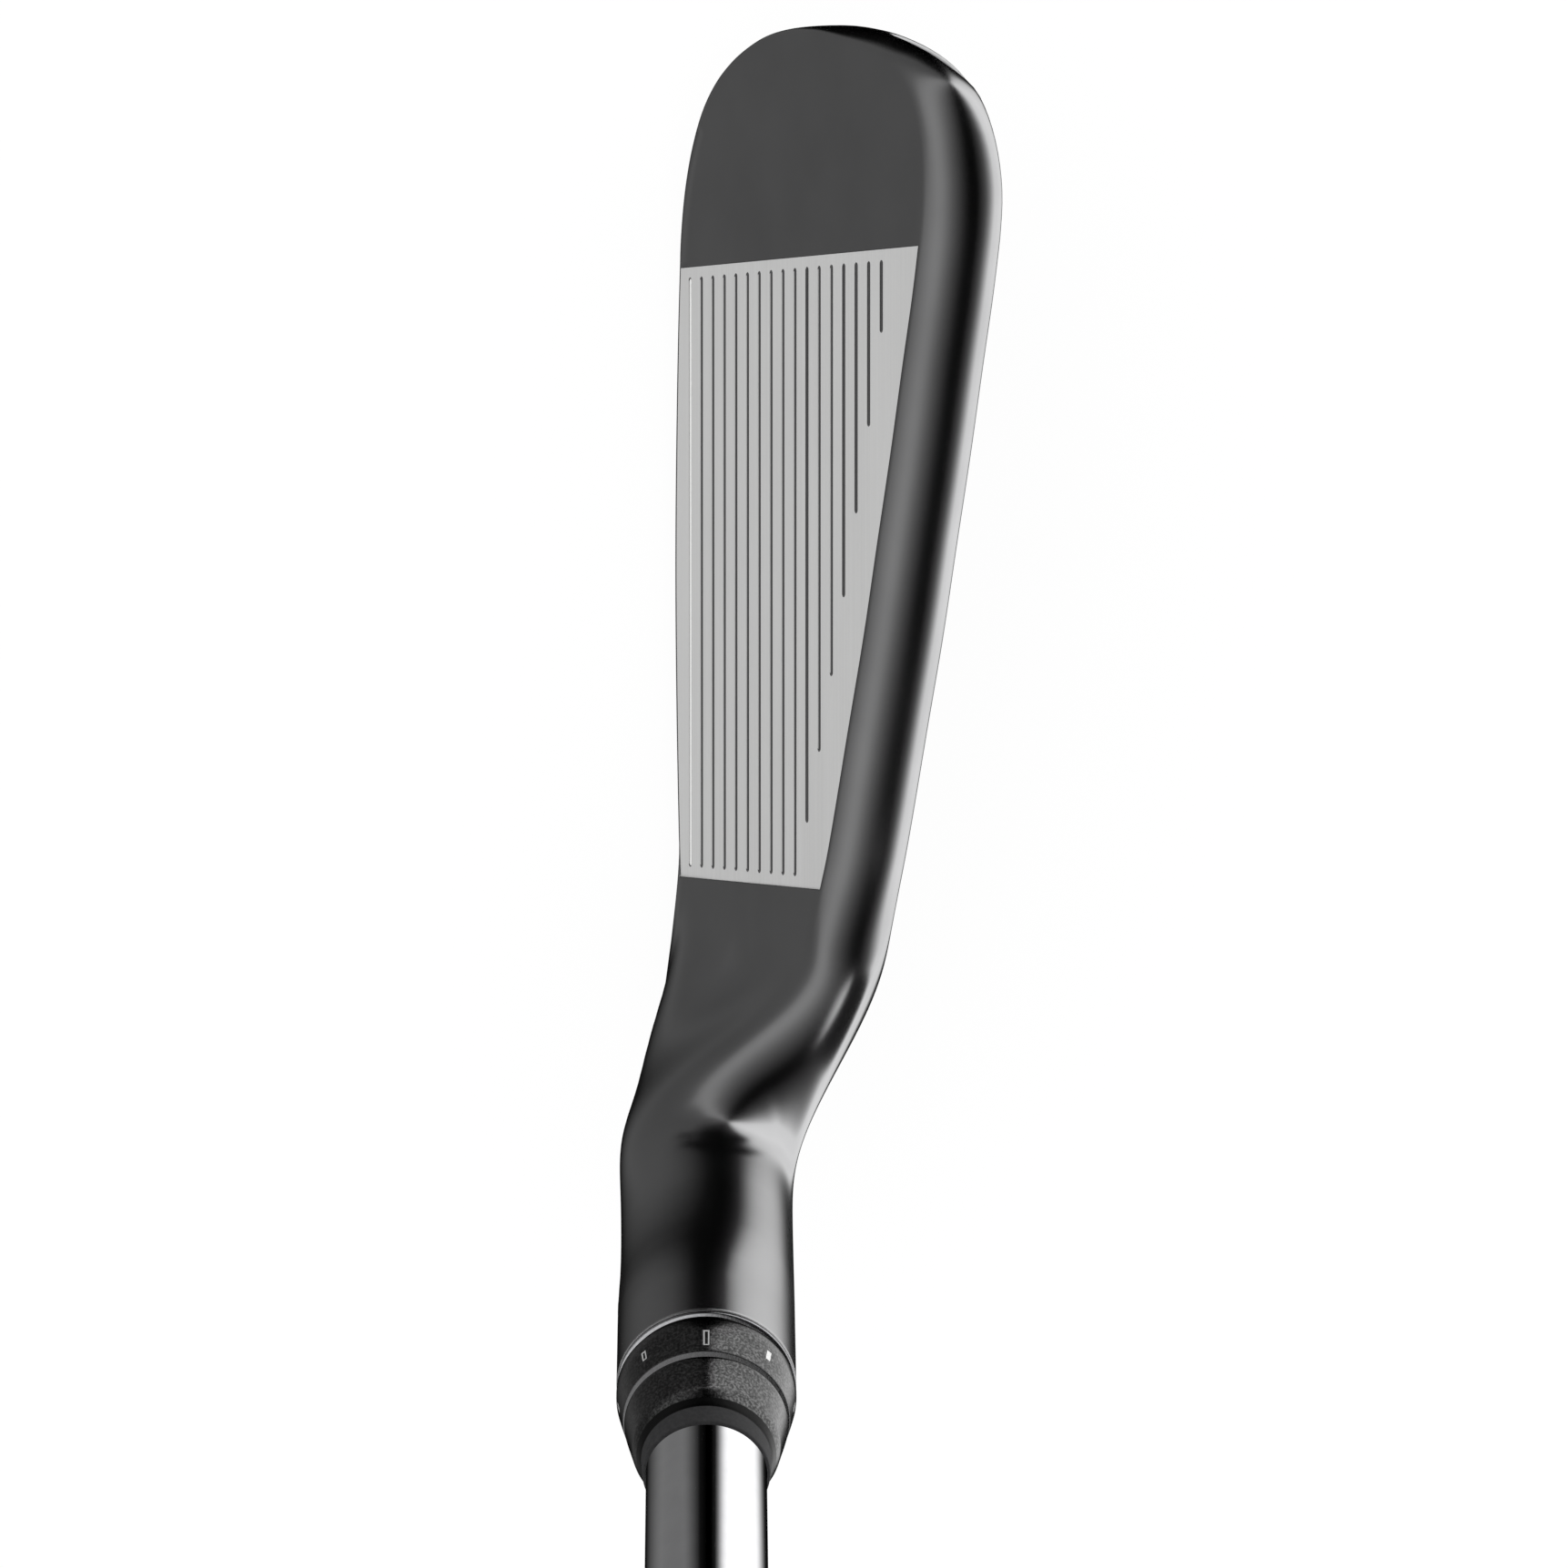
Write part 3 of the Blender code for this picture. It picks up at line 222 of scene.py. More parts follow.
def frame_y(x):
    return curve(x, FRAME_BACK)


def spine_z(x):
    return curve(x, SPINE)


def half_section(spine, out, face_reach, rim_reach, thick, apex, drop, crease, back_y, lip_y,
                 pulls=(0.5, 0.3)):
    """Half of a section, from the middle of the face over the rim to the middle
    of the back. spine and out are (X, Z); the result is 3-D points. lip_y gives
    the Y of the back at an X, and back_y that of its middle point. pulls are the
    lengths of the back edge's two handles."""
    face_y = FACE_Y - FACE_SLOPE * (spine[1] + face_reach * out[1])
    rise = rim_reach - face_reach
    start = math.atan2(1.0, FACE_SLOPE * out[1]) - crease
    handle = 0.55 * rise / math.sin(start)
    crown = bezier((0, 0), (handle * math.cos(start), handle * math.sin(start)),
                   (apex * 0.5, rise), (apex, rise), RIM_N)
    edge = bezier((apex, rise), (apex + pulls[0] * (thick - apex), rise),
                  (thick, rise - pulls[1] * drop), (thick, rise - drop), EDGE_N)
    points = []
    for i in range(FACE_N):
        reach = face_reach * i / FACE_N
        z = spine[1] + reach * out[1]
        points.append((spine[0] + reach * out[0], FACE_Y - FACE_SLOPE * z, z))
    for inward, lift in [*crown, *edge[1:]]:
        reach = face_reach + lift
        points.append((spine[0] + reach * out[0], face_y - inward, spine[1] + reach * out[1]))
    edge_reach, edge_y = face_reach + rise - drop, face_y - thick
    for i in range(1, BACK_N + 1):
        t = i / BACK_N
        reach = edge_reach * (1 - t)
        x = spine[0] + reach * out[0]
        y = edge_y + (lip_y(x) - edge_y) * smooth(t, 0, 0.75) if i < BACK_N else back_y(x)
        points.append((x, y, spine[1] + reach * out[1]))
    return np.array(points)


def circle_half(centre, out, run, end):
    """Half of the hosel's section, with the same point count and order. It is
    drawn out by run along out before it rounds over to end."""
    points = []
    for j in range(HALF_N + 1):
        deg = np.interp(j, PART_ENDS, CIRCLE_DEG)
        angle = math.radians(deg)
        reach = (end - run) * math.sin(angle) + run * smooth(min(deg, 180.0 - deg), 0, 40)
        points.append((centre[0] + reach * out[0], HOSEL_Y + HOSEL_R * math.cos(angle),
                       centre[1] + reach * out[1]))
    return np.array(points)


def barrel_size(theta):
    """Offset and half height of the hosel barrel where the section at angle theta
    in the bend cuts it at a slant."""
    slant = math.cos(LIE - theta)
    return BEND_R / slant - BEND_R, HOSEL_R / slant


def barrel_half(centre, out, theta):
    """Upper half of the barrel's section. The face's edge ends up behind its crown."""
    offset, height = barrel_size(min(theta, LIE))
    points = []
    for j in range(HALF_N + 1):
        deg = np.interp(j, PART_ENDS, BARREL_DEG)
        angle = math.radians(deg)
        ends = (height - offset) * math.sin(angle)
        reach = mix(ends, height * math.sin(angle) - offset, smooth(min(deg, 180.0 - deg), 5, 50))
        points.append((centre[0] + reach * out[0], HOSEL_Y + HOSEL_R * math.cos(angle),
                       centre[1] + reach * out[1]))
    return np.array(points)


# Past this part of its half height the barrel's front carries on as a slope
CROWN_AT, CROWN_FRONT, CROWN_SLOPE = 0.92, 0.3919, 2.347


def barrel_front(reach, theta):
    """Y of the hosel barrel's front at a reach from the section's spine."""
    offset, height = barrel_size(theta)
    part = (reach + offset) / height
    if part < -1.0:
        return HOSEL_Y
    if part < CROWN_AT:
        return HOSEL_Y + HOSEL_R * math.sqrt(1 - part * part)
    return HOSEL_Y + HOSEL_R * (CROWN_FRONT - CROWN_SLOPE * (part - CROWN_AT))


# ---------------------------------------------------------------- head sections
# Spine and the two outward directions as (X, Z), reaches of the face's edge and of
# the rim each way, draw-out of the hosel's circle, and angle round the bend
Station = namedtuple(
    "Station", "spine up low up_face up_rim low_face low_rim run theta")

# Heights where the blade meets the bend, so the two carry straight on
JOIN_TOP, JOIN_SOLE = curve(BEND_C[0], FACE_TOP), curve(BEND_C[0], SOLE)
JOIN_RIM = curve(BEND_C[0], FACE_LOW) - JOIN_SOLE
CORE = 5.0                       # lower reach left out of the draw-out


def blade_station(x):
    z = spine_z(x)
    top, sole = curve(x, FACE_TOP), curve(x, SOLE)
    # the angle carries on below zero, so the blend runs in before the bend starts
    return Station((x, z), (0.0, 1.0), (0.0, -1.0), top - z, top + TOP_RIM_RISE - z,
                   z - curve(x, FACE_LOW), z - sole, z - sole - CORE,
                   -(x - BEND_C[0]) / BEND_R)


def turn_station(theta, slide=0.0):
    """Station in the bend, or slid up the hosel past it."""
    held = min(theta, LIE)
    out = np.array([-math.sin(held), -math.cos(held)])
    spine = BEND_C[[0, 2]] + slide * HOSEL_AXIS[[0, 2]] + BEND_R * out
    slant = math.cos(LIE - held)
    inner = soft_min(
        (BEND_C[2] - JOIN_TOP - TOP_RIM_RISE) / max(math.cos(held) - 0.30 * math.sin(held), 0.2),
        (BEND_R - HOSEL_R) / slant, 3.5)
    outer = soft_min(
        (BEND_R + HOSEL_R) / slant,
        (BEND_C[2] - JOIN_SOLE - 3.01 * math.tan(min(held, 0.9))) / max(math.cos(held), 0.3), 9.0)
    up_rim, low_rim = BEND_R - inner, outer - BEND_R
    low_face = low_rim - JOIN_RIM - (LOW_RIM_RISE - JOIN_RIM) * smooth(held, 0.0, 0.5)
    return Station(tuple(spine), tuple(-out), tuple(out), up_rim - TOP_RIM_RISE, up_rim,
                   low_face, low_rim, min(BEND_R / slant - BEND_R, max(low_rim - CORE, 0.0)),
                   theta)


def round_weights(front, rim, back):
    """How far each point has gone over to the hosel's round section, given at the
    middle of the face, at the rim and at the middle of the back."""
    weights = []
    for j in range(HALF_N + 1):
        if j <= TOP_N:
            weights.append(mix(front, rim, smooth(j, 0, TOP_N)))
        else:
            weights.append(mix(rim, back, smooth(j, TOP_N, HALF_N)))
    return np.array(weights)[:, None]


def step_forward(points, deg, side, reach):
    """Step the face and topline forward as they near the hosel, and swell the face
    out into the barrel's front. side is 1 above the middle, -1 below."""
    step = curve(deg, FORWARD)
    held = 0.45 * smooth(deg, 0, 6) * (1 - smooth(deg, 22, 40))
    for j in range(HALF_N + 1):
        if side > 0:
            fade = (1 - held) * (1 - smooth(j, TOP_N + 0.4 * EDGE_N, HALF_N))
        else:
            fade = 1 - smooth(j, 0.5 * FACE_N, TOP_N + 0.3 * EDGE_N)
        points[j, 1] += step * fade
    if deg <= 0:
        return
    for j in range(FACE_N):
        part = j / FACE_N
        y = points[j, 1]
        barrel = barrel_front(side * reach * part, min(math.radians(deg), LIE))
        if side < 0:
            barrel = HOSEL_Y + (barrel - HOSEL_Y) * (1 - 0.25 * smooth(part, 0.3, 1.0))
        swell = -soft_min(-y, -barrel, 4.5) - y
        points[j, 1] = y + swell * (1 - smooth(part, 0.7, 1.0)) * smooth(deg, 2, 14)


def closed_row(upper, lower):
    """Closed loop: over the top from face to back, then under the sole to the face."""
    return np.vstack([upper, lower[-2:0:-1]])


def neck_row(at):
    """Row of points at a station of the hosel, bend or blade."""
    deg = math.degrees(at.theta)
    low_x, low_z = (at.spine[k] + at.low_face * at.low[k] for k in (0, 1))
    low_thick = FACE_Y - FACE_SLOPE * low_z - muscle_y(low_x)
    upper = half_section(at.spine, at.up, at.up_face, at.up_rim, 6.4, **TOP_RIM,
                         back_y=muscle_y, lip_y=frame_y)
    lower = half_section(at.spine, at.low, at.low_face, at.low_rim, low_thick, **SOLE_RIM,
                         back_y=muscle_y, lip_y=muscle_y)
    step_forward(upper, deg, 1, at.up_face)
    step_forward(lower, deg, -1, at.low_face)
    round_upper = barrel_half(at.spine, at.up, at.theta) if deg > 20 else upper
    round_lower = circle_half(at.spine, at.low, at.run, at.low_rim if at.run else HOSEL_R)
    up, low, back = smooth(deg, 27, 45), share(deg, LOW_SHARE), share(deg, BACK_SHARE)
    return closed_row(mix(upper, round_upper, round_weights(up, up, back)),
                      mix(lower, round_lower, round_weights(up, low, back)))


def fair(grid, degrees):
    """Even out the rows round the heel so the blade, bend and hosel flow into
    one another. The blade and the hosel's mouth stay put."""
    heel = np.array([smooth(d, *FAIR_IN) * (1 - smooth(d, *FAIR_OUT)) for d in degrees])
    turn = np.array([smooth(d, *FAIR_ACROSS) for d in degrees])
    # the upper half takes more of it than the sole
    top = np.array([smooth(j, 0, FACE_N) * (1 - smooth(j, HALF_N - 8, HALF_N + 4))
                    for j in range(2 * HALF_N)])
    heel, turn, top = heel[:, None, None], turn[:, None, None], top[None, :, None]

    def even(rows, passes):
        for _ in range(passes):
            along = np.zeros_like(rows)
            along[1:-1] = rows[:-2] + rows[2:] - 2 * rows[1:-1]
            across = np.roll(rows, 1, axis=1) + np.roll(rows, -1, axis=1) - 2 * rows
            rows = rows + heel * ((0.15 + 0.10 * top) * along
                                  + (0.07 + 0.15 * top) * turn * across)
        return rows

    # what the evening took off the broad form is put back
    grid = np.array(grid)
    result = even(grid, FAIR_PASSES)
    for _ in range(FAIR_RESTORES):
        result = result + even(grid - result, FAIR_PASSES)
    return even(result, FAIR_LAST)


def neck_rows():
    """Hosel, bend and blade, faired, with the hosel's rows thinned."""
    stations = [turn_station(LIE + (s - BEND_START) / BEND_R, s - BEND_START)
                for s in np.linspace(HOSEL_TOP, BEND_START, HOSEL_GRID, endpoint=False)]
    stations += [turn_station(t) for t in np.linspace(LIE, 0, BEND_ROWS, endpoint=False)]
    stations += [blade_station(x)
                 for x in np.linspace(BEND_C[0], TOE_X, BLADE_ROWS, endpoint=False)]
    grid = fair([neck_row(s) for s in stations], [math.degrees(s.theta) for s in stations])
    rows = []
    for i in range(HOSEL_ROWS):
        place = i * HOSEL_GRID / HOSEL_ROWS
        k = int(place)
        rows.append(mix(grid[k], grid[k + 1], place - k))
    return rows + list(grid[HOSEL_GRID:])


def toe_half(deg):
    """Half section at an angle of the toe's fan."""
    angle = math.radians(deg)
    out = (math.cos(angle), math.sin(angle))
    face_reach = curve(deg, TOE_FACE)
    full = FACE_Y - FACE_SLOPE * (TOE_Z + face_reach * out[1]) - MUSCLE_Y
    above = smooth(deg, LEDGE - 2.0, LEDGE + 2.5)        # 1 above the ledge
    raised = smooth(deg, -80, 10)                         # 0 at the sole
    # the rim's back edge falls away at the toe's high corner
    fall = smooth(deg, 27, 38) * (1 - smooth(deg, 50, 63))
    lip = mix(MUSCLE_Y, FRAME_Y, above)
    upper_apex = mix(2.9, TOP_RIM["apex"], smooth(deg, 40, 90))
    return half_section(
        (TOE_X, TOE_Z), out, face_reach, curve(deg, TOE_RIM),
        thick=mix(full, curve(deg, TOE_THICK), above),
        apex=mix(SOLE_RIM["apex"], upper_apex, raised),
        drop=mix(mix(SOLE_RIM["drop"], 6.6, raised), TOP_RIM["drop"] + 1.8 * fall, above),
        crease=TOP_RIM["crease"] * smooth(deg, 45, 85),
        pulls=(mix(mix(0.5, 0.30, raised), 0.5 - 0.2 * fall, above),
               mix(mix(0.3, 0.42, raised), 0.3 + 0.2 * fall, above)),
        back_y=lambda x: MUSCLE_Y, lip_y=lambda x: lip)


def toe_rows():
    """Rows fanned round the toe; the last is a single half that closes it."""
    return [closed_row(toe_half(a), toe_half(-a)) for a in TOE_ROWS[:-1]] + [toe_half(0.0)]


# ---------------------------------------------------------------- mesh builders
def join_rings(mesh, lower, upper, around_first=False):
    """Quads between two rings of vertices."""
    for i in range(len(lower)):
        j = (i + 1) % len(lower)
        if around_first:
            mesh.faces.new((lower[i], lower[j], upper[j], upper[i]))
        else:
            mesh.faces.new((lower[i], upper[i], upper[j], lower[j]))


def close_rings(mesh, rings):
    """Join rings into a closed loop of bands. None stands for a flat cap."""
    for i, lower in enumerate(rings):
        upper = rings[(i + 1) % len(rings)]
        if lower is None and upper is None:
            continue
        if lower is None:
            mesh.faces.new(upper)
        elif upper is None:
            mesh.faces.new(lower[::-1])
        else:
            join_rings(mesh, lower, upper)


def stack_rings(mesh, rings):
    """A capped solid through a stack of rings."""
    mesh.faces.new(rings[0])
    mesh.faces.new(rings[-1][::-1])
    for lower, upper in zip(rings[:-1], rings[1:]):
        join_rings(mesh, lower, upper)


def ring(mesh, radii, height):
    """Vertices round local Z, one for each radius."""
    verts = []
    for i, radius in enumerate(radii):
        angle = 2 * math.pi * i / len(radii)
        verts.append(mesh.verts.new((radius * MM * math.cos(angle),
                                     radius * MM * math.sin(angle), height * MM)))
    return verts


def outward(mesh):
    """Turn all faces outward."""
    bmesh.ops.recalc_face_normals(mesh, faces=mesh.faces)
    if mesh.calc_volume(signed=True) < 0:
        bmesh.ops.reverse_faces(mesh, faces=mesh.faces)
    return mesh


def loft(rows):
    """Mesh of the head's outer surface: loops joined row to row, the mouth
    capped, and the last row closing the toe as a seam."""
    mesh = bmesh.new()
    rings = [[mesh.verts.new(p * MM) for p in row] for row in rows]
    last = rings[-1]
    rings[-1] = last + last[HALF_N - 1:0:-1]
    for lower, upper in zip(rings[:-1], rings[1:]):
        join_rings_safe(mesh, lower, upper)
    mesh.faces.new(rings[0][::-1])
    bmesh.ops.remove_doubles(mesh, verts=mesh.verts, dist=1e-7)
    return outward(mesh)


def join_rings_safe(mesh, lower, upper):
    """Rings of the head, joined with each quad's first edge round the ring."""
    join_rings(mesh, lower, upper, around_first=True)


def relax(mesh, centre, radius, passes):
    """Smooth a small patch round a point so it carries no pinch."""
    middle = Vector(centre) * MM
    near = [v for v in mesh.verts if (v.co - middle).length < radius * MM]
    for _ in range(passes):
        bmesh.ops.smooth_vert(mesh, verts=near, factor=0.5,
                              use_axis_x=True, use_axis_y=True, use_axis_z=True)


def frame_at(point, axis):
    """Matrix with its origin at point and local Z along axis."""
    z = Vector(axis).normalized()
    x = Vector((0, 1, 0)).cross(z)
    x.normalize()
    matrix = Matrix((x, z.cross(x), z)).transposed().to_4x4()
    matrix.translation = Vector(point) * MM
    return matrix


def turned(profile, segments):
    """Solid of revolution about local Z from a closed list of (radius, z).
    A radius of zero stands for a flat cap at that height."""
    mesh = bmesh.new()
    close_rings(mesh, [ring(mesh, [radius] * segments, z) if radius > 0 else None
                       for radius, z in profile])
    return outward(mesh)


def rod(steps, top, segments):
    """Stacked cylinders up to top, each given as (radius, bottom)."""
    heights = [bottom for _, bottom in steps] + [top]
    profile = [(0, heights[0])]
    for i, (radius, bottom) in enumerate(steps):
        profile += [(radius, bottom), (radius, heights[i + 1])]
    return turned(profile + [(0, top)], segments)


def prism(outline, low, high, place):
    """A 2-D outline carried between two depths. place turns (u, v, depth) into
    a 3-D point."""
    mesh = bmesh.new()
    stack_rings(mesh, [[mesh.verts.new(Vector(place(u, v, depth)) * MM) for u, v in outline]
                       for depth in (low, high)])
    return outward(mesh)


def lobes(radius, low, high):
    """Six-lobed prism for a screw's drive."""
    mesh = bmesh.new()
    count, wave, segments = 6, 0.16, 96
    radii = [radius * (1 + wave * math.cos(count * 2 * math.pi * i / segments))
             for i in range(segments)]
    bottom, top = ring(mesh, radii, low), ring(mesh, radii, high)
    mesh.faces.new(bottom[::-1])
    mesh.faces.new(top)
    join_rings(mesh, bottom, top, around_first=True)
    return outward(mesh)


def threaded(minor, major, start, end, pitch):
    """Ring grooves that read as a thread along a turned profile."""
    points = []
    z = start
    while z + pitch <= end:
        points += [(minor, z), (major, z + pitch * 0.45), (major, z + pitch * 0.55)]
        z += pitch
    points.append((minor, z))
    return points


def on_face(x, z, depth):
    """Point at X, height z on the face plane, moved in from the face by depth."""
    return (x, FACE_Y - FACE_SLOPE * z - depth * math.cos(LOFT), z - depth * math.sin(LOFT))


def straight_back(x, z, depth):
    return (x, -depth, z)


def round_corners(points, radius, steps):
    """A closed polygon with its corners rounded. radius is a number for all
    corners, or {index: radius} for some."""
    result = []
    for i, point in enumerate(points):
        corner, before, after = (np.array(p, float)
                                 for p in (point, points[i - 1], points[(i + 1) % len(points)]))
        size = radius.get(i, 0) if isinstance(radius, dict) else radius
        len_before, len_after = np.linalg.norm(before - corner), np.linalg.norm(after - corner)
        to_before, to_after = (before - corner) / len_before, (after - corner) / len_after
        half = math.acos(np.clip(np.dot(to_before, to_after), -1, 1)) / 2
        if size <= 0 or half > math.radians(86):
            result.append(tuple(corner))
            continue
        reach = min(size / math.tan(half), 0.45 * len_before, 0.45 * len_after)
        start, end = corner + to_before * reach, corner + to_after * reach
        for j in range(steps + 1):
            t = j / steps
            result.append(tuple((1 - t) ** 2 * start + 2 * (1 - t) * t * corner + t**2 * end))
    return result


def rounded(profile, radius, steps):
    """A turned profile with its corners away from the axis rounded off."""
    return round_corners(profile, {i: radius for i, p in enumerate(profile) if p[0] > 0}, steps)


# ---------------------------------------------------------------- objects
def smooth_shade(data, sharp_deg):
    data.shade_smooth()
    data.set_sharp_from_angle(angle=math.radians(sharp_deg))


def new_object(name, mesh, material, sharp_deg=35.0, matrix=None):
    """An object whose mesh is in the shared frame, so it needs no placing."""
    if matrix is not None:
        mesh.transform(matrix)
    data = bpy.data.meshes.new(name)
    mesh.normal_update()
    mesh.to_mesh(data)
    mesh.free()
    data.materials.append(material)
    smooth_shade(data, sharp_deg)
    ob = bpy.data.objects.new(name, data)
    bpy.context.scene.collection.objects.link(ob)
    return ob


def cutter(name, mesh, matrix=None):
    return new_object(name, mesh, M_BLACK, matrix=matrix)


def bake(ob, sharp_deg):
    """Replace the mesh by its evaluated form and drop the modifiers."""
    bpy.context.view_layer.update()
    graph = bpy.context.evaluated_depsgraph_get()
    data = bpy.data.meshes.new_from_object(ob.evaluated_get(graph), preserve_all_data_layers=True,
                                           depsgraph=graph)
    old = ob.data
    ob.modifiers.clear()
    ob.data = data
    bpy.data.meshes.remove(old)
    smooth_shade(data, sharp_deg)


def carve(ob, cutters, operation="DIFFERENCE", sharp_deg=30.0):
    for tool in cutters:
        modifier = ob.modifiers.new(tool.name, "BOOLEAN")
        modifier.object = tool
        modifier.operation = operation
        modifier.solver = "EXACT"
    bake(ob, sharp_deg)
    for tool in cutters:
        bpy.data.objects.remove(tool)


def soften(ob, width):
    modifier = ob.modifiers.new("soften", "BEVEL")
    modifier.width = width * MM
    modifier.segments = 2
    modifier.limit_method = "ANGLE"
    modifier.angle_limit = math.radians(35)
    modifier.harden_normals = False
    bake(ob, 40)


def stand_in(ob, cad_piece, group):
    """Show the object in place of a CAD piece and move it with a group."""
    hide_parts(cad_piece)
    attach(ob, group)


def add_to(ob, group):
    """Show the object as a further part of a CAD piece."""
    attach(ob, group)


# ---------------------------------------------------------------- node helpers
class Graph:
    """The node tree of a material or world."""

    def __init__(self, owner):
        owner.use_nodes = True
        self.tree = owner.node_tree
        self.tree.nodes.clear()

    def add(self, kind, inputs=None, **settings):
        """Add a node; inputs maps its sockets to values or to other sockets."""
        node = self.tree.nodes.new(kind)
        for key, value in settings.items():
            setattr(node, key, value)
        for key, value in (inputs or {}).items():
            if isinstance(value, bpy.types.NodeSocket):
                self.tree.links.new(value, node.inputs[key])
            else:
                node.inputs[key].default_value = value
        return node

    def ramp(self, fac, stops):
        """Colour ramp through (position, grey or RGB)."""
        node = self.add("ShaderNodeValToRGB")
        elements = node.color_ramp.elements
        while len(elements) < len(stops):
            elements.new(0.5)
        for i, (position, colour) in enumerate(stops):
            grey = isinstance(colour, (int, float))
            elements[i].position = position
            elements[i].color = (colour, colour, colour, 1) if grey else (*colour, 1)
        self.tree.links.new(fac, node.inputs["Fac"])
        return node.outputs["Color"]

    def math(self, operation, first, second):
        return self.add("ShaderNodeMath", {0: first, 1: second}, operation=operation).outputs[0]


class Material(Graph):
    """A material; its surface inputs are fed by name."""

    def __init__(self, name):
        self.material = bpy.data.materials.new(name)
        super().__init__(self.material)
        self.output = self.add("ShaderNodeOutputMaterial")

    def surface(self, shader):
        self.shader = shader
        self.tree.links.new(shader.outputs[0], self.output.inputs["Surface"])

    def principled(self, metallic, roughness, **more):
        values = {"Metallic": metallic, "Roughness": roughness}
        if "specular" in more:
            values["Specular IOR Level"] = more["specular"]
        self.surface(self.add("ShaderNodeBsdfPrincipled", values))

    def feed(self, key, socket):
        self.tree.links.new(socket, self.shader.inputs[key])

    def coords(self, scale=(1, 1, 1)):
        vector = self.add("ShaderNodeTexCoord").outputs["Object"]
        return self.add("ShaderNodeMapping", {"Scale": scale, "Vector": vector}).outputs["Vector"]

    def noise(self, vector, scale, detail=3.0, rough=0.5):
        return self.add("ShaderNodeTexNoise", {
            "Scale": scale, "Detail": detail, "Roughness": rough, "Vector": vector,
        }).outputs["Fac"]

    def spread(self, fac, low, high):
        """Map a noise's middle range to low..high."""
        return self.add("ShaderNodeMapRange", {
            "From Min": 0.25, "From Max": 0.75, "To Min": low, "To Max": high, "Value": fac,
        }).outputs[0]

    def bump(self, height, strength, depth, normal=None):
        inputs = {"Strength": strength, "Distance": depth * MM, "Height": height}
        if normal is not None:
            inputs["Normal"] = normal
        return self.add("ShaderNodeBump", inputs).outputs["Normal"]

    def edges(self, radius):
        """Normals rounded over at the edges."""
        return self.add("ShaderNodeBevel", {"Radius": radius * MM}, samples=6).outputs["Normal"]


# ---------------------------------------------------------------- materials
def black_coat():
    """Satin black coating over blasted steel."""
    mat = Material("black_satin_coat")
    mat.principled(metallic=1.0, roughness=0.17)
    vector = mat.coords()
    cloud = mat.noise(vector, scale=90, detail=4)
    fine = mat.noise(vector, scale=5200, detail=2, rough=0.6)
    shades = [(0.35, (0.190, 0.190, 0.192)), (0.65, (0.212, 0.212, 0.214))]
    mat.feed("Base Color", mat.ramp(cloud, shades))
    mat.feed("Roughness", mat.math("ADD", mat.spread(cloud, low=0.155, high=0.185),
                                   mat.spread(fine, low=-0.010, high=0.010)))
    mat.feed("Normal", mat.bump(fine, strength=0.05, depth=0.02, normal=mat.edges(0.38)))
    return mat.material


def blasted_face():
    """Light face panel: fine blasting over milling marks that run heel to toe."""
    mat = Material("blasted_face")
    mat.principled(metallic=0.0, roughness=0.62, specular=0.35)
    lines = mat.noise(mat.coords((1.5, 700, 700)), scale=12, detail=2, rough=0.6)
    fine = mat.noise(mat.coords(), scale=7000, detail=2, rough=0.7)
    cloud = mat.noise(mat.coords((20, 60, 60)), scale=3, detail=3)
    # shares of the three noises in the colour
    line_part = mat.math("MULTIPLY", lines, 0.55)
    rest = mat.math("ADD", mat.math("MULTIPLY", fine, 0.2), mat.math("MULTIPLY", cloud, 0.25))
    shades = [(0.3, (0.500, 0.500, 0.497)), (0.7, (0.580, 0.580, 0.577))]
    mat.feed("Base Color", mat.ramp(mat.math("ADD", line_part, rest), shades))
    mat.feed("Roughness", mat.spread(fine, low=0.56, high=0.70))
    milled = mat.bump(lines, strength=0.25, depth=0.02)
    mat.feed("Normal", mat.bump(fine, strength=0.35, depth=0.02, normal=milled))
    return mat.material


def paint(name, rgb, rough=0.55):
    mat = Material(name)
    mat.principled(metallic=0.0, roughness=rough)
    fine = mat.noise(mat.coords(), scale=3000, detail=3, rough=0.6)
    mat.feed("Base Color", mat.ramp(fine, [(0.3, tuple(c * 0.93 for c in rgb)), (0.7, rgb)]))
    mat.feed("Normal", mat.bump(fine, strength=0.15, depth=0.02))
    return mat.material


def groove_dark():
    mat = Material("scoreline_wall")
    mat.principled(metallic=0.6, roughness=0.55)
    lines = mat.noise(mat.coords((2, 900, 900)), scale=10, detail=2)
    shades = [(0.3, (0.085, 0.085, 0.086)), (0.7, (0.125, 0.125, 0.126))]
    mat.feed("Base Color", mat.ramp(lines, shades))
    return mat.material


def anodised(name, shade, rough, scale, strength):
    """Black anodised surface over a bead blast: small sparkling pits."""
    mat = Material(name)
    mat.principled(metallic=1.0, roughness=rough)
    vector = mat.coords()
    pits = mat.noise(vector, scale=scale, detail=2, rough=0.55)
    grain = mat.noise(vector, scale=scale * 3, detail=1, rough=0.5)
    shades = [(0.35, shade * 0.45), (0.5, shade * 0.9), (0.65, shade * 1.75)]
    mat.feed("Base Color", mat.ramp(pits, shades))
    mat.feed("Roughness", mat.spread(grain, low=rough - 0.06, high=rough + 0.06))
    pitted = mat.bump(pits, strength=strength, depth=0.06, normal=mat.edges(0.12))
    mat.feed("Normal", mat.bump(grain, strength=strength * 0.5, depth=0.02, normal=pitted))
    return mat.material


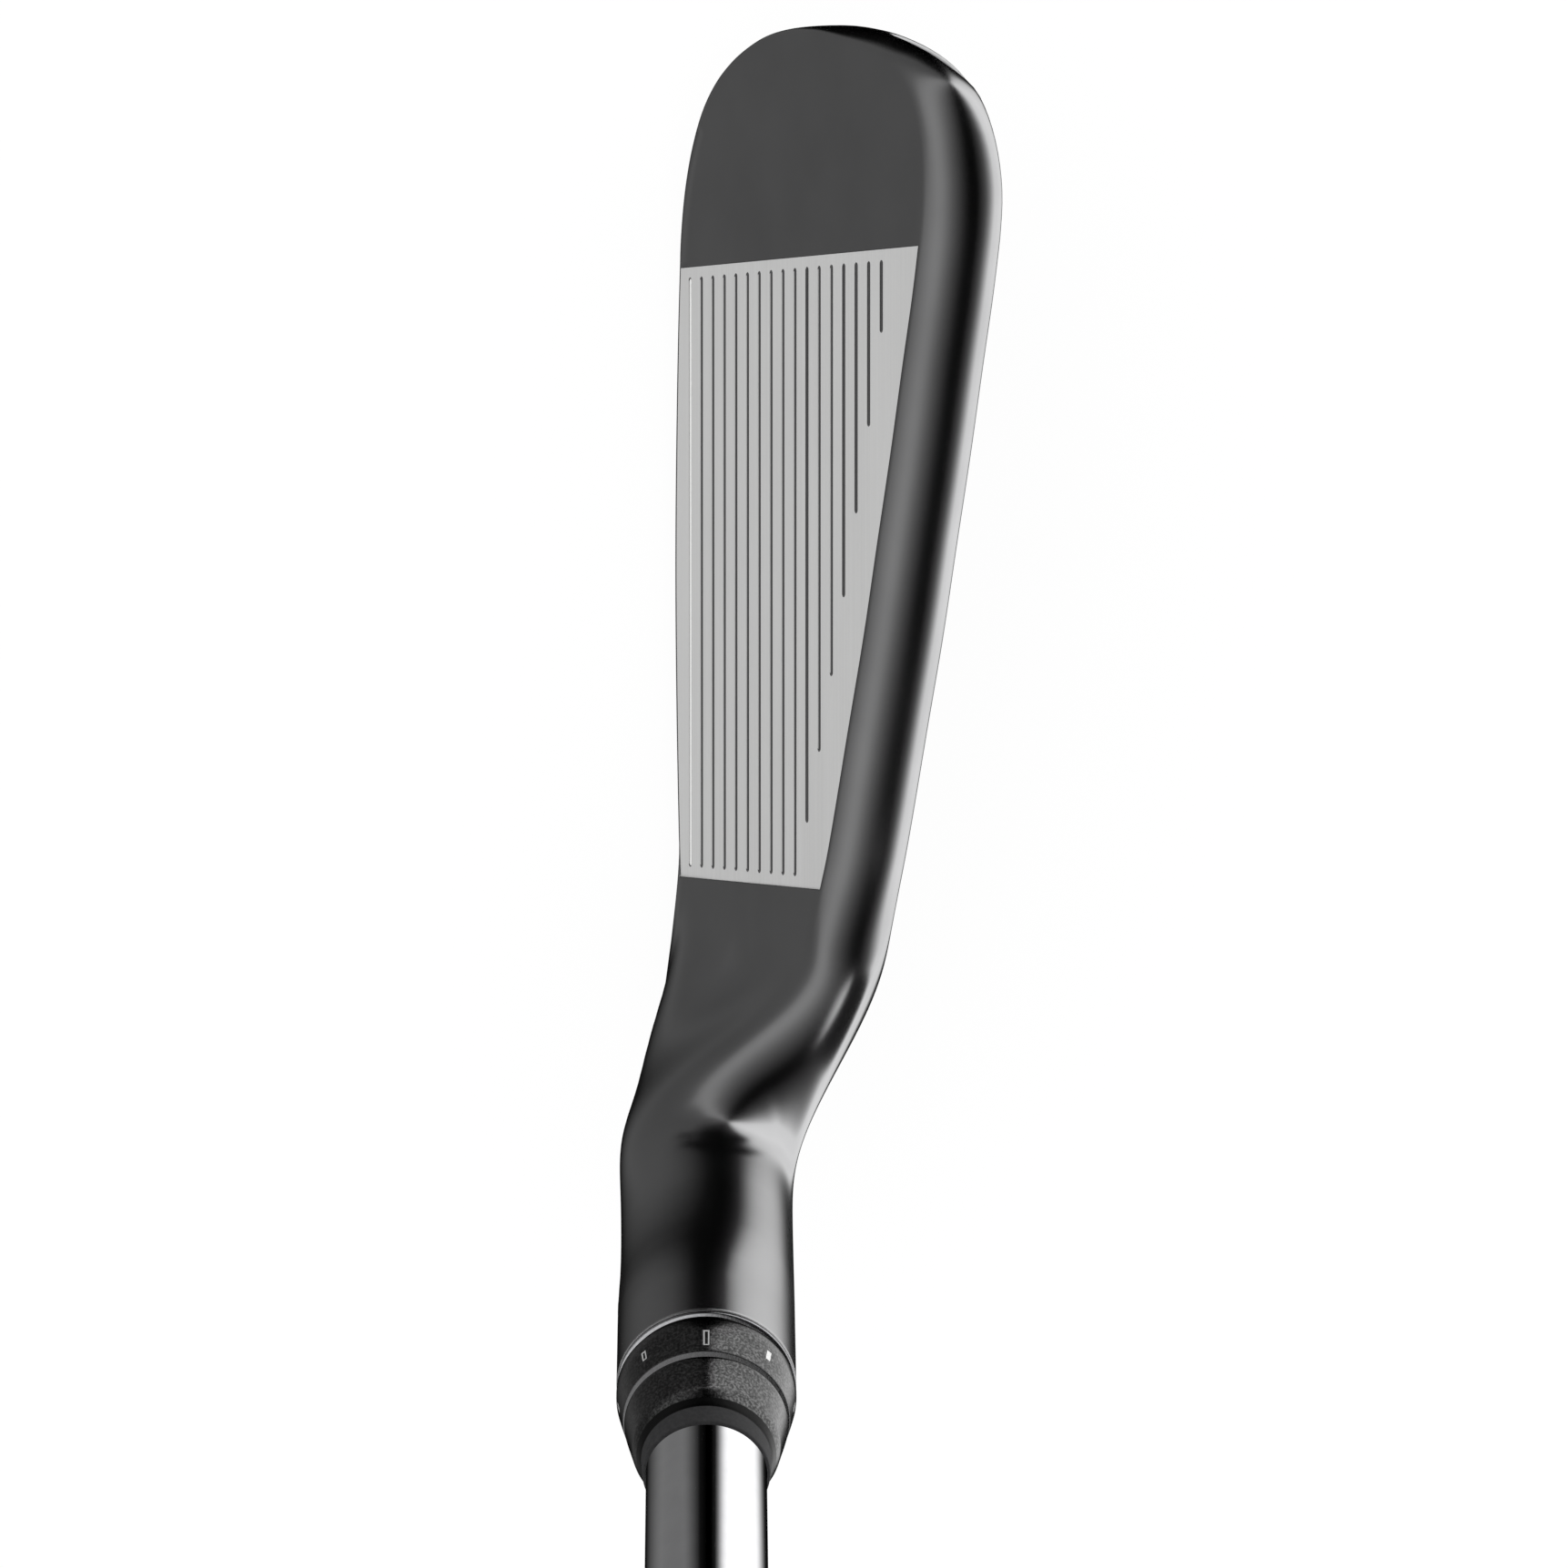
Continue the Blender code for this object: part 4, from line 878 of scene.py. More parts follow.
def chrome():
    """Bright plated steel with faint polishing marks."""
    mat = Material("polished_chrome")
    mat.principled(metallic=1.0, roughness=0.045)
    haze = mat.noise(mat.coords(), scale=600, detail=3)
    shades = [(0.3, (0.50, 0.50, 0.508)), (0.7, (0.53, 0.53, 0.538))]
    mat.feed("Base Color", mat.ramp(haze, shades))
    mat.feed("Roughness", mat.spread(haze, low=0.035, high=0.06))
    polish = mat.noise(mat.coords((900, 900, 900)), scale=1.2, detail=2)
    mat.feed("Normal", mat.bump(polish, strength=0.03, depth=0.01))
    return mat.material


def metal(name, rgb, rough, brush=None, grain=4000, strength=0.1):
    """Plain metal; brush is a texture scale that draws the grain into lines."""
    mat = Material(name)
    mat.principled(metallic=1.0, roughness=rough)
    fine = mat.noise(mat.coords(brush or (1, 1, 1)), scale=14 if brush else grain,
                     detail=3, rough=0.6)
    dark, light = tuple(c * 0.88 for c in rgb), tuple(min(c * 1.1, 1) for c in rgb)
    mat.feed("Base Color", mat.ramp(fine, [(0.3, dark), (0.7, light)]))
    mat.feed("Roughness", mat.spread(fine, low=rough * 0.85, high=rough * 1.15))
    mat.feed("Normal", mat.bump(fine, strength=strength, depth=0.02, normal=mat.edges(0.15)))
    return mat.material


def rubber(name, rgb, rough, grain=2600, strength=0.3, specular=0.4):
    mat = Material(name)
    mat.principled(metallic=0.0, roughness=rough, specular=specular)
    vector = mat.coords()
    fine = mat.noise(vector, scale=grain, detail=3, rough=0.6)
    cloud = mat.noise(vector, scale=60, detail=4)
    both = mat.math("ADD", mat.math("MULTIPLY", fine, 0.5), mat.math("MULTIPLY", cloud, 0.5))
    dark, light = tuple(c * 0.8 for c in rgb), tuple(c * 1.3 for c in rgb)
    mat.feed("Base Color", mat.ramp(both, [(0.35, dark), (0.65, light)]))
    mat.feed("Roughness", mat.spread(cloud, low=rough - 0.07, high=rough + 0.07))
    mat.feed("Normal", mat.bump(fine, strength=strength, depth=0.05))
    return mat.material


def woven_tape():
    mat = Material("woven_tape")
    mat.principled(metallic=0.0, roughness=0.85)
    wave = mat.add("ShaderNodeTexWave", {
        "Scale": 900, "Distortion": 1.5, "Vector": mat.coords()}, wave_type="BANDS")
    threads = wave.outputs["Fac"]
    shades = [(0.2, (0.60, 0.56, 0.46)), (0.8, (0.74, 0.70, 0.60))]
    mat.feed("Base Color", mat.ramp(threads, shades))
    mat.feed("Normal", mat.bump(threads, strength=0.4, depth=0.05))
    return mat.material


def floor_pale():
    """Nearly self-lit white, with a little room for shadow."""
    mat = Material("floor_pale")
    diffuse = mat.add("ShaderNodeBsdfDiffuse", {"Color": (0.92, 0.92, 0.92, 1)})
    glow = mat.add("ShaderNodeEmission", {"Color": (1, 1, 1, 1), "Strength": 1.03})
    mat.surface(mat.add("ShaderNodeMixShader", {
        0: 0.90, 1: diffuse.outputs[0], 2: glow.outputs[0]}))
    return mat.material


M_BLACK = black_coat()
M_FACE = blasted_face()
M_WHITE = paint("scoreline_white", (0.93, 0.93, 0.92))
M_GROOVE = groove_dark()
M_ANOD = anodised("anodised_blast", shade=0.042, rough=0.17, scale=4800, strength=0.12)
M_ANOD_FINE = anodised("anodised_fine", shade=0.06, rough=0.35, scale=4200, strength=0.2)
M_FERRULE = anodised("ferrule_black", shade=0.041, rough=0.17, scale=4800, strength=0.12)
M_NOSE = rubber("ferrule_nose", (0.031, 0.031, 0.032), rough=0.65, grain=3000, strength=0.2,
                specular=0.08)
# painted shade: the ferrule's step cone is given a near-black colour for the shade that falls on
# it
M_STEP_SHADE = metal("ferrule_step_painted_shade", (0.008, 0.008, 0.008), rough=0.35)
M_MARK = paint("mark_paint", (0.40, 0.40, 0.40), rough=0.6)
M_CHROME = chrome()
M_RING = metal("bright_ring", (0.19, 0.19, 0.195), rough=0.10)
M_EDGE = metal("turned_edge", (0.066, 0.066, 0.067), rough=0.10)
M_BADGE = metal("badge_brushed", (0.10, 0.10, 0.105), rough=0.34, brush=(2, 420, 420),
                strength=0.2)
M_ACCENT = metal("accent_brushed", (0.55, 0.55, 0.56), rough=0.27, brush=(2, 500, 500),
                 strength=0.2)
M_TUNGSTEN = metal("sintered_tungsten", (0.31, 0.30, 0.29), rough=0.36, grain=5200,
                   strength=0.25)
M_STEEL = metal("zinc_steel", (0.48, 0.48, 0.47), rough=0.33)
M_BRASS = metal("turned_brass", (0.60, 0.44, 0.16), rough=0.26)
M_NYLON = rubber("nylon", (0.72, 0.71, 0.66), rough=0.5, grain=1500, strength=0.1)
M_ELASTOMER = rubber("elastomer", (0.040, 0.040, 0.043), rough=0.66)
M_GRIP = rubber("grip_rubber", (0.021, 0.021, 0.022), rough=0.74, grain=2200, strength=0.5)
M_TAPE = woven_tape()

# CAD pieces shown as they are
CAD_MATERIALS = {
    "thread_insert": M_STEEL, "tip_weight": M_BRASS, "grip_tape": M_TAPE,
    "adapter_sleeve": M_ANOD_FINE, "toe_weight_slug": M_TUNGSTEN, "screw_washer": M_STEEL,
    "screw_retainer": M_NYLON, "undercut_damper": M_ELASTOMER, "hosel_screw": M_STEEL,
}
for piece, piece_material in CAD_MATERIALS.items():
    for material_slot in frame["nodes"][piece].material_slots:
        material_slot.material = piece_material

# ---------------------------------------------------------------- local frames
HOSEL = frame_at(HOSEL_FOOT, HOSEL_AXIS)
SHAFT = frame_at(HOSEL_FOOT + PIVOT * HOSEL_AXIS - PIVOT * SHAFT_AXIS, SHAFT_AXIS)
TOE_DIP = math.radians(-6)
TOE_SCREW = frame_at(np.array([33.6, -9.9, 14.6]),
                     Vector((math.cos(TOE_DIP), -0.10, math.sin(TOE_DIP))).normalized())


def up_hosel(point):
    """Distance in mm along the hosel axis from its foot."""
    return (point / MM - Vector(HOSEL_FOOT)).dot(Vector(HOSEL_AXIS))


# ---------------------------------------------------------------- head
CAVITY_FLOOR = FACE_T - 0.44     # depth of the cavity's floor from the face


def face_outline():
    gap = PLATE_GAP * math.cos(LOFT)
    stations = np.linspace(*FACE_X, 60)
    low = [(x, curve(x, FACE_LOW) + gap) for x in stations]
    return low + [(x, curve(x, FACE_TOP) - gap) for x in stations[::-1]]


def ledge_z(x):
    """Height of the muscle's top line."""
    return spine_z(x) if x < TOE_X else TOE_Z + (x - TOE_X) * math.tan(math.radians(LEDGE))


def pocket_outline():
    """Cavity: along the topline, round the toe and back along the ledge."""
    points = [(x, curve(x, FACE_TOP) - 2.9) for x in np.linspace(-19, 26.4, 24)]
    for deg in np.linspace(88, 30, 18):
        radius, angle = curve(deg, TOE_FACE) - 4.2, math.radians(deg)
        points.append((TOE_X + radius * math.cos(angle), TOE_Z + radius * math.sin(angle)))
    toe = len(points)
    points.append((40.3, ledge_z(40.3) - 0.7))
    points += [(x, ledge_z(x) - 0.9) for x in np.linspace(33, -17, 22)]
    return round_corners(points, {0: 2.2, len(points) - 1: 2.2, toe: 3.5}, 8)


def undercut_outline():
    points = [(x, curve(x, FACE_TOP) - 3.4) for x in np.linspace(-20, 26, 12)]
    points += [(31.5, 38.5), (33.5, 30.0), (33.0, 16.0), (29.5, 10.0)]
    points += [(x, 6.6 + 0.0011 * x * x) for x in np.linspace(24, -17, 12)]
    points += [(-21.0, 10.5), (-21.5, 18.0)]
    last = len(points) - 1
    corners = (0, 11, 13, 14, 15, 16, last - 2, last - 1, last)
    return round_corners(points, dict.fromkeys(corners, 1.5), 5)


def build_head():
    mesh = loft(neck_rows() + toe_rows())
    # the fillet where the topline runs into the hosel
    for radius, passes in ((4.2, 20), (2.6, 60)):
        relax(mesh, (-45.2, 3.1, 26.7), radius, passes)
    head = new_object("head_skin", mesh, M_BLACK, 26)

    ground = cutter("ground_cut", prism([(-80, -40), (80, -40), (80, 40), (-80, 40)],
                                        -6.0, 0.0, lambda u, v, depth: (u, v, depth)))
    seat = cutter("seat_cut", prism(face_outline(), -2.0, FACE_T + 0.06, on_face))
    pocket = cutter("pocket_cut", prism(pocket_outline(), 30.0, -12.0, straight_back))
    behind = cutter("behind_face", prism([(-70, -20), (70, -20), (70, 70), (-70, 70)],
                                         CAVITY_FLOOR, 70.0, on_face))
    carve(pocket, [behind], "INTERSECT")
    undercut = cutter("undercut_cut",
                      prism(undercut_outline(), CAVITY_FLOOR, FACE_T + 4.6, on_face))
    bore = cutter("bore_cut", rod([(BORE_R, BORE_FLOOR), (MOUTH_R, MOUTH_FLOOR)], 60.0, 128),
                  HOSEL)
    screw = cutter("screw_cut", rod([(4.3, -8), (2.85, 13.9)], 17.5, 96), HOSEL)
    weight = cutter("weight_cut", rod([(3.15, -4.6), (4.15, 5.2)], 20, 96), TOE_SCREW)
    carve(head, [ground, seat, pocket, undercut, bore, screw, weight], sharp_deg=26)
    stand_in(head, "head_body", "head")


# ---------------------------------------------------------------- face panel
def groove_span(i):
    """Heel end, toe end and height of a groove."""
    short = GROOVES - len(GROOVE_HEEL)
    heel = GROOVE_HEEL[i - short] if i >= short else GROOVE_X[0]
    return heel, GROOVE_X[1], GROOVE_Z + i * GROOVE_PITCH * math.cos(LOFT)


def slot_outline(heel, toe, half):
    """A slot with round ends as (x, v), v measured up the face."""
    points = []
    for centre, start in ((toe - half, -math.pi / 2), (heel + half, math.pi / 2)):
        for i in range(11):
            angle = start + math.pi * i / 10
            points.append((centre + half * math.cos(angle), half * math.sin(angle)))
    return points


def groove_solid(mesh, heel, toe, middle, layers):
    """Slot outlines of several half widths stacked in depth, as (half width, depth)."""
    rings = []
    for half, depth in layers:
        rings.append([
            mesh.verts.new(Vector(on_face(x, middle + v * math.cos(LOFT), depth)) * MM)
            for x, v in slot_outline(heel, toe, half)])
    stack_rings(mesh, rings)


def build_face():
    plate = new_object("face_panel", prism(face_outline(), 0.0, FACE_T, on_face), M_FACE, 20)
    plate.data.materials.append(M_GROOVE)
    half = GROOVE_W / 2
    layers = [(half + 0.10, -0.10), (half + 0.02, 0.0), (half - 0.03, 0.06),
              (half - 0.10, 0.33), (half - 0.16, 0.38)]
    mesh = bmesh.new()
    for i in range(GROOVES):
        groove_solid(mesh, *groove_span(i), layers)
    carve(plate, [new_object("groove_cut", outward(mesh), M_GROOVE, 20)], sharp_deg=20)
    # everything sunk below the panel's surface is scoreline
    normal = Vector((0, math.cos(LOFT), math.sin(LOFT)))
    surface = normal.dot(Vector((0, FACE_Y, 0))) * MM
    for face in plate.data.polygons:
        depth = (surface - normal.dot(face.center)) / MM
        sunk = 0.012 < depth < 0.5 and abs(face.center.x / MM) < 25.6
        face.material_index = 1 if sunk else 0
    stand_in(plate, "face_plate", "head")

    # the lowest groove is filled with white
    heel, toe, middle = groove_span(0)
    mesh = bmesh.new()
    groove_solid(mesh, heel + 0.13, toe - 0.13, middle + 0.02,
                 [(0.145, 0.03), (0.15, 0.10), (0.15, 0.30)])
    add_to(new_object("scoreline_paint", outward(mesh), M_WHITE, 30), "head")


# ---------------------------------------------------------------- cavity badge
BADGE_DEPTH = FACE_T + 0.12      # front of the badge core, from the face
ACCENT_BAR = [(-9.0, 26.4), (23.5, 35.0), (24.6, 31.0), (-7.4, 22.6)]    # (X, Z)


def badge_outline(inset):
    points = [(x, curve(x, FACE_TOP) - 3.9 - inset) for x in np.linspace(-17 + inset, 26.5, 16)]
    points += [(31.5 - inset * 0.7, 38.0 - inset), (32.9 - inset, 30.0)]
    points += [(x, spine_z(min(x, 26)) + 1.2 + inset)
               for x in np.linspace(30 - inset, -15.5 + inset, 16)]
    return round_corners(points, dict.fromkeys((0, 15, 16, 17, 18, 33), 1.6), 8)


def shrink(outline, distance):
    """Move each point towards the outline's centre."""
    centre = np.mean(np.array(outline), axis=0)
    spokes = [np.array(p) - centre for p in outline]
    return [tuple(centre + s * (1 - distance / np.linalg.norm(s))) for s in spokes]


def build_badge():
    def layer(outline, low, high):
        return prism(outline, BADGE_DEPTH + low, BADGE_DEPTH + high, on_face)

    core = new_object("badge_core_skin", layer(badge_outline(0.4), 0, 1.9), M_ELASTOMER)
    stand_in(core, "badge_core", "head")
    bar = round_corners(ACCENT_BAR, 1.2, 8)
    badge = new_object("badge_skin", layer(badge_outline(0.0), 2.0, 3.1), M_BADGE)
    carve(badge, [cutter("bar_cut", layer(bar, 2.55, 6.0))])
    soften(badge, 0.16)
    stand_in(badge, "badge_plate", "head")
    accent = new_object("accent_skin", layer(shrink(bar, 0.12), 2.60, 3.35), M_ACCENT)
    soften(accent, 0.14)
    stand_in(accent, "badge_accent", "head")


# ---------------------------------------------------------------- screws
# (radius, height) along each screw's axis
TOE_SCREW_PROFILE = [
    (0, -1.4), (2.75, -1.4), *threaded(2.75, 3.05, start=-1.2, end=5.1, pitch=0.7),
    (2.7, 5.3), (3.95, 5.3), (3.95, 7.9), (3.6, 8.25), (0, 8.25)]
CLAMP_PROFILE = [
    (0, 8.0), (3.2, 8.0), (3.55, 8.35), (3.55, 12.5), (2.2, 12.5),
    *threaded(2.1, 2.45, start=15.0, end=24.5, pitch=0.8), (2.1, 24.9), (1.9, 25.2), (0, 25.2)]


def build_screws():
    toe = new_object("toe_screw_skin", turned(rounded(TOE_SCREW_PROFILE, 0.08, 2), 96),
                     M_TUNGSTEN, 30, TOE_SCREW)
    carve(toe, [cutter("toe_drive", lobes(1.75, 5.9, 12.0), TOE_SCREW)])
    stand_in(toe, "toe_weight_screw", "toe_screw")
    clamp = new_object("clamp_screw_skin", turned(rounded(CLAMP_PROFILE, 0.06, 2), 96),
                       M_STEEL, 30, HOSEL)
    carve(clamp, [cutter("clamp_drive", lobes(1.95, 4.0, 10.9), HOSEL)])
    stand_in(clamp, "hosel_screw", "clamp_screw")


# ---------------------------------------------------------------- ring and collar
# (radius, distance up the hosel axis)
RING_PROFILE = [(6.22, 56.06), (7.05, 56.06), (7.05, 56.30), (6.22, 56.30)]
COLLAR_PROFILE = [
    (5.68, 56.42), (6.78, 56.42), (6.78, 56.86), (6.90, 56.88), (7.04, 56.98), (7.10, 57.12),
    (7.115, 57.4), (7.11, 57.9), (7.09, 58.2), (7.045, 58.5), (6.955, 59.0), (6.86, 59.5),
    (6.76, 60.0), (6.66, 60.5), (6.580, 60.88), (6.572, 60.935), (6.555, 60.956), (6.1, 60.96),
    (5.68, 60.96)]
MARK_FOOT = 58.68                # lower end of the marks
MARK_LINE = 0.12                 # line width of an outlined mark
DEG_PER_MM = 180 / math.pi / 7.1     # round the collar


def collar_radius(along):
    radii, heights = zip(*COLLAR_PROFILE[1:-1])
    return float(np.interp(along, heights, radii))


def collar_patch(mesh, deg, middle, width, length, inner, outer, count=(10, 10)):
    """A curved block on the collar. deg and middle are its place round and along
    the axis, inner and outer its offsets from the surface."""
    across, along = count
    width *= DEG_PER_MM
    grid = {}
    for k, offset in enumerate((inner, outer)):
        for i in range(across + 1):
            for j in range(along + 1):
                angle = math.radians(deg - width / 2 + width * i / across)
                z = middle - length / 2 + length * j / along
                radius = collar_radius(z) + offset
                grid[i, j, k] = mesh.verts.new((radius * math.cos(angle) * MM,
                                                radius * math.sin(angle) * MM, z * MM))

    def quad(*corners):
        mesh.faces.new([grid[corner] for corner in corners])

    for i in range(across):
        for j in range(along):
            quad((i, j, 0), (i, j + 1, 0), (i + 1, j + 1, 0), (i + 1, j, 0))
            quad((i, j, 1), (i + 1, j, 1), (i + 1, j + 1, 1), (i, j + 1, 1))
    for i in range(across):
        quad((i, 0, 0), (i + 1, 0, 0), (i + 1, 0, 1), (i, 0, 1))
        quad((i, along, 0), (i, along, 1), (i + 1, along, 1), (i + 1, along, 0))
    for j in range(along):
        quad((0, j, 0), (0, j, 1), (0, j + 1, 1), (0, j + 1, 0))
        quad((across, j, 0), (across, j + 1, 0), (across, j + 1, 1), (across, j, 1))


def build_collar():
    seat_ring = new_object("seat_ring_skin", turned(rounded(RING_PROFILE, 0.03, 3), 160),
                           M_RING, 40, HOSEL)
    stand_in(seat_ring, "seat_ring", "ring")
    collar = new_object("collar_skin", turned(COLLAR_PROFILE, 192), M_ANOD, 32, HOSEL)
    collar.data.materials.append(M_EDGE)

    # eight sunk marks round the collar: two long, and two of the short ones filled
    sunk, outlined, filled = bmesh.new(), bmesh.new(), bmesh.new()
    for k in range(8):
        deg = 45.0 * k
        width, height = (0.50, 1.64) if k % 4 == 0 else (0.48, 0.95)
        middle = MARK_FOOT + height / 2
        collar_patch(sunk, deg, middle, width, height, -0.05, 0.2)
        if k in (3, 7):
            target = filled
            parts = [(deg, middle, width, height)]
        else:
            target = outlined
            side = (width - MARK_LINE) / 2 * DEG_PER_MM
            end = (height - MARK_LINE) / 2
            parts = [(deg - side, middle, MARK_LINE, height),
                     (deg + side, middle, MARK_LINE, height),
                     (deg, middle + end, width - 2 * MARK_LINE, MARK_LINE),
                     (deg, middle - end, width - 2 * MARK_LINE, MARK_LINE)]
        for part in parts:
            collar_patch(target, *part, -0.055, -0.012, count=(3, 6))
    carve(collar, [cutter("mark_cut", outward(sunk), HOSEL)], sharp_deg=32)
    # the end face is turned bright under the anodising
    for face in collar.data.polygons:
        face.material_index = 1 if up_hosel(face.center) > 60.945 else 0
    marks = new_object("index_marks", outward(outlined), M_MARK, 30, HOSEL)
    dots = new_object("index_dots", outward(filled), M_WHITE, 30, HOSEL)
    stand_in(collar, "adapter_collar", "shaft_group")
    for part in (marks, dots):
        add_to(part, "shaft_group")


# ---------------------------------------------------------------- ferrule
# (radius, distance up the hosel axis)
FERRULE_PROFILE = [
    (0, 61.5), (6.36, 61.5), (6.42, 61.52), (6.45, 61.57), (6.42, 61.8), (6.31, 62.4),
    (6.11, 63.4), (5.93, 64.3), (5.84, 64.75), (5.78, 65.0), (5.68, 65.25), (5.46, 65.72),
    (5.24, 66.14), (5.15, 66.30), (5.09, 66.36), (5.065, 66.42), (5.075, 66.5), (5.07, 66.7),
    (5.04, 67.3), (5.00, 67.9), (4.975, 68.15), (4.94, 68.25), (4.88, 68.29), (0, 68.29)]
STEP_START, NOSE_START = 65.70, 66.34


def build_ferrule():
    ferrule = new_object("ferrule_skin", turned(FERRULE_PROFILE, 160), M_FERRULE, 40, HOSEL)
    ferrule.data.materials.append(M_NOSE)
    ferrule.data.materials.append(M_STEP_SHADE)
    carve(ferrule, [cutter("tip_cut", rod([(SHAFT_R + 0.03, 55)], 75, 128), SHAFT)],
          sharp_deg=40)
    # the nose past the step has a plain matt surface; the step itself is painted near black, as
    # painted shade
    for face in ferrule.data.polygons:
        along = up_hosel(face.center)
        face.material_index = 1 if along > NOSE_START else 2 if along > STEP_START else 0
    stand_in(ferrule, "ferrule", "shaft_group")


# ---------------------------------------------------------------- shaft
SHAFT_TIP, SHAFT_END = 31.2, CLUB_LENGTH - 4.0
SHAFT_STEPS = [292 + 44.45 * i for i in range(13)]
SHAFT_RADII = list(np.linspace(SHAFT_R, SHAFT_BUTT_R, len(SHAFT_STEPS) + 1))


def build_shaft():
    outer = [(SHAFT_R, SHAFT_TIP), (SHAFT_R, 68.6), (SHAFT_R, 180)]
    for along, small, large in zip(SHAFT_STEPS, SHAFT_RADII, SHAFT_RADII[1:]):
        rise = large - small
        outer += [(small, along - 0.6), (small + rise * 0.15, along - 0.35),
                  (small + rise * 0.85, along + 0.35), (large, along + 0.6)]
    outer.append((SHAFT_BUTT_R, SHAFT_END))
    inner = [(SHAFT_R - 1.0, SHAFT_TIP), (SHAFT_R - 1.0, 150),
             (SHAFT_RADII[6] - 0.5, SHAFT_STEPS[6]), (SHAFT_BUTT_R - 0.45, SHAFT_END)]
    shaft = new_object("shaft_skin", turned(outer + inner[::-1], 128), M_CHROME, 25, SHAFT)
    stand_in(shaft, "shaft", "shaft_group")


# ---------------------------------------------------------------- grip
GRIP_START = CLUB_LENGTH - GRIP_LENGTH
GRIP_LIP = 5.5                   # from the grip's upper end to the end of the club
# (distance up the shaft, radius)
GRIP_RADII = [
    (GRIP_START, 9.0), (GRIP_START + 1.2, 9.35), (GRIP_START + 60, 10.05),
    (GRIP_START + 130, 10.9), (GRIP_START + 200, 12.0), (CLUB_LENGTH - 24, 13.05),
    (CLUB_LENGTH - GRIP_LIP, 13.6)]
GRIP_BANDS = (92.0, 181.0)       # middles of two smooth bands, from the grip's start
PATTERN_PITCH = 4.6
GRIP_SEGMENTS, GRIP_RINGS = 176, 520


def grip_depth(along, angle, radius):
    """How far the moulded pattern is sunk at a place on the grip."""
    place = along - GRIP_START
    left = GRIP_LENGTH - GRIP_LIP - place
    # ring grooves at both ends, then a plain sunk ring
    if place < 9.5:
        return 0.32 if (place % 2.4) > 1.7 else 0.06
    if left < 9:
        return 0.35 if (left % 3.0) > 2.3 else 0.06
    if place < 11.5 or left < 11:
        return 0.38
    # the smooth bands carry plain ring lines
    for middle in GRIP_BANDS:
        if abs(place - middle) < 6.5:
            return 0.34 if abs(abs(place - middle) - 5.4) < 0.5 else 0.06
    # elsewhere two sets of crossing lines
    turn = angle * radius * 0.92
    gaps = [abs(q - round(q)) * PATTERN_PITCH
            for q in ((place + turn) / PATTERN_PITCH, (place - turn) / PATTERN_PITCH)]
    return 0.06 + 0.36 * (1 - smooth(min(gaps), 0.28, 0.62))


def build_grip():
    mesh = bmesh.new()
    heights, sizes = zip(*GRIP_RADII)
    angles = [2 * math.pi * i / GRIP_SEGMENTS for i in range(GRIP_SEGMENTS)]
    start, end = GRIP_START + 0.05, CLUB_LENGTH - GRIP_LIP - 0.05
    rings = []
    for along in np.linspace(start, end, GRIP_RINGS):
        radius = float(np.interp(along, heights, sizes))
        rings.append(ring(mesh, [radius - grip_depth(along, a, radius) for a in angles], along))
    # the inside, from the butt end back down
    for radius, along in ((7.95, end), (7.95, CLUB_LENGTH - 8),
                          (SHAFT_RADII[9] + 0.35, GRIP_START + 3), (8.0, start)):
        rings.append(ring(mesh, [radius] * GRIP_SEGMENTS, along))
    close_rings(mesh, rings)
    grip = new_object("grip_skin", outward(mesh), M_GRIP, 50, SHAFT)
    stand_in(grip, "grip", "shaft_group")


# (radius, distance below the end of the club)
CAP_PROFILE = [
    (0, 3.6), (8.1, 3.6), (8.1, 5.3), (13.5, 5.3), (13.9, 4.4), (13.9, 2.2), (13.2, 0.7),
    (11.6, 0), (9.6, 0), (9.4, 0.35), (8.9, 0.35), (8.7, 0), (0, 0)]


def build_cap():
    profile = [(radius, CLUB_LENGTH - below) for radius, below in CAP_PROFILE]
    cap = new_object("cap_skin", turned(rounded(profile, 0.3, 4), 160), M_GRIP, 30, SHAFT)
    vent = rod([(1.3, CLUB_LENGTH - 8)], CLUB_LENGTH + 4, 48)
    carve(cap, [cutter("cap_hole", vent, SHAFT)])
    stand_in(cap, "grip_cap", "shaft_group")


# ---------------------------------------------------------------- floor, sky and camera
def build_floor():
    mesh = bmesh.new()
    bmesh.ops.create_grid(mesh, x_segments=1, y_segments=1, size=6.0)
    floor = new_object("floor", mesh, floor_pale())
    floor.location = (0, 0, -0.0004)
    floor.visible_glossy = False
    floor.visible_diffuse = False


# (angle, brightness) of the sky that the metal mirrors. The angle goes round the
# X axis, 0 overhead and positive towards -Y.
SKY = [
    (-180, 0.0), (-164, 0.01), (-156, 0.07), (-149, 0.15), (-141, 0.28), (-132, 0.25),
    (-112, 0.30), (-100, 0.42), (-90, 0.76), (-78, 0.92), (-66, 0.84), (-54, 0.60),
    (-42, 0.38), (-30, 0.22), (-18, 0.08), (-9, 0.01), (4, 0.01), (18, 0.13), (30, 0.32),
    (42, 0.85), (54, 1.70), (70, 2.95), (110, 3.10), (130, 2.50), (140, 2.20), (145, 1.65),
    (150, 0.75), (154, 0.25), (159, 0.02), (168, 0.0), (180, 0.0)]
# The same for directions well towards -X: light on the +Y side only
SKY_BUTT = [(-180, 0.6), (-90, 2.4), (-1, 2.4), (0.6, 1.2), (2.5, 0.03), (180, 0.02)]
SKY_STRENGTH = 4.0               # the ramps are scaled down by this
EVEN_STRENGTH = 0.95             # plain white light for all other rays


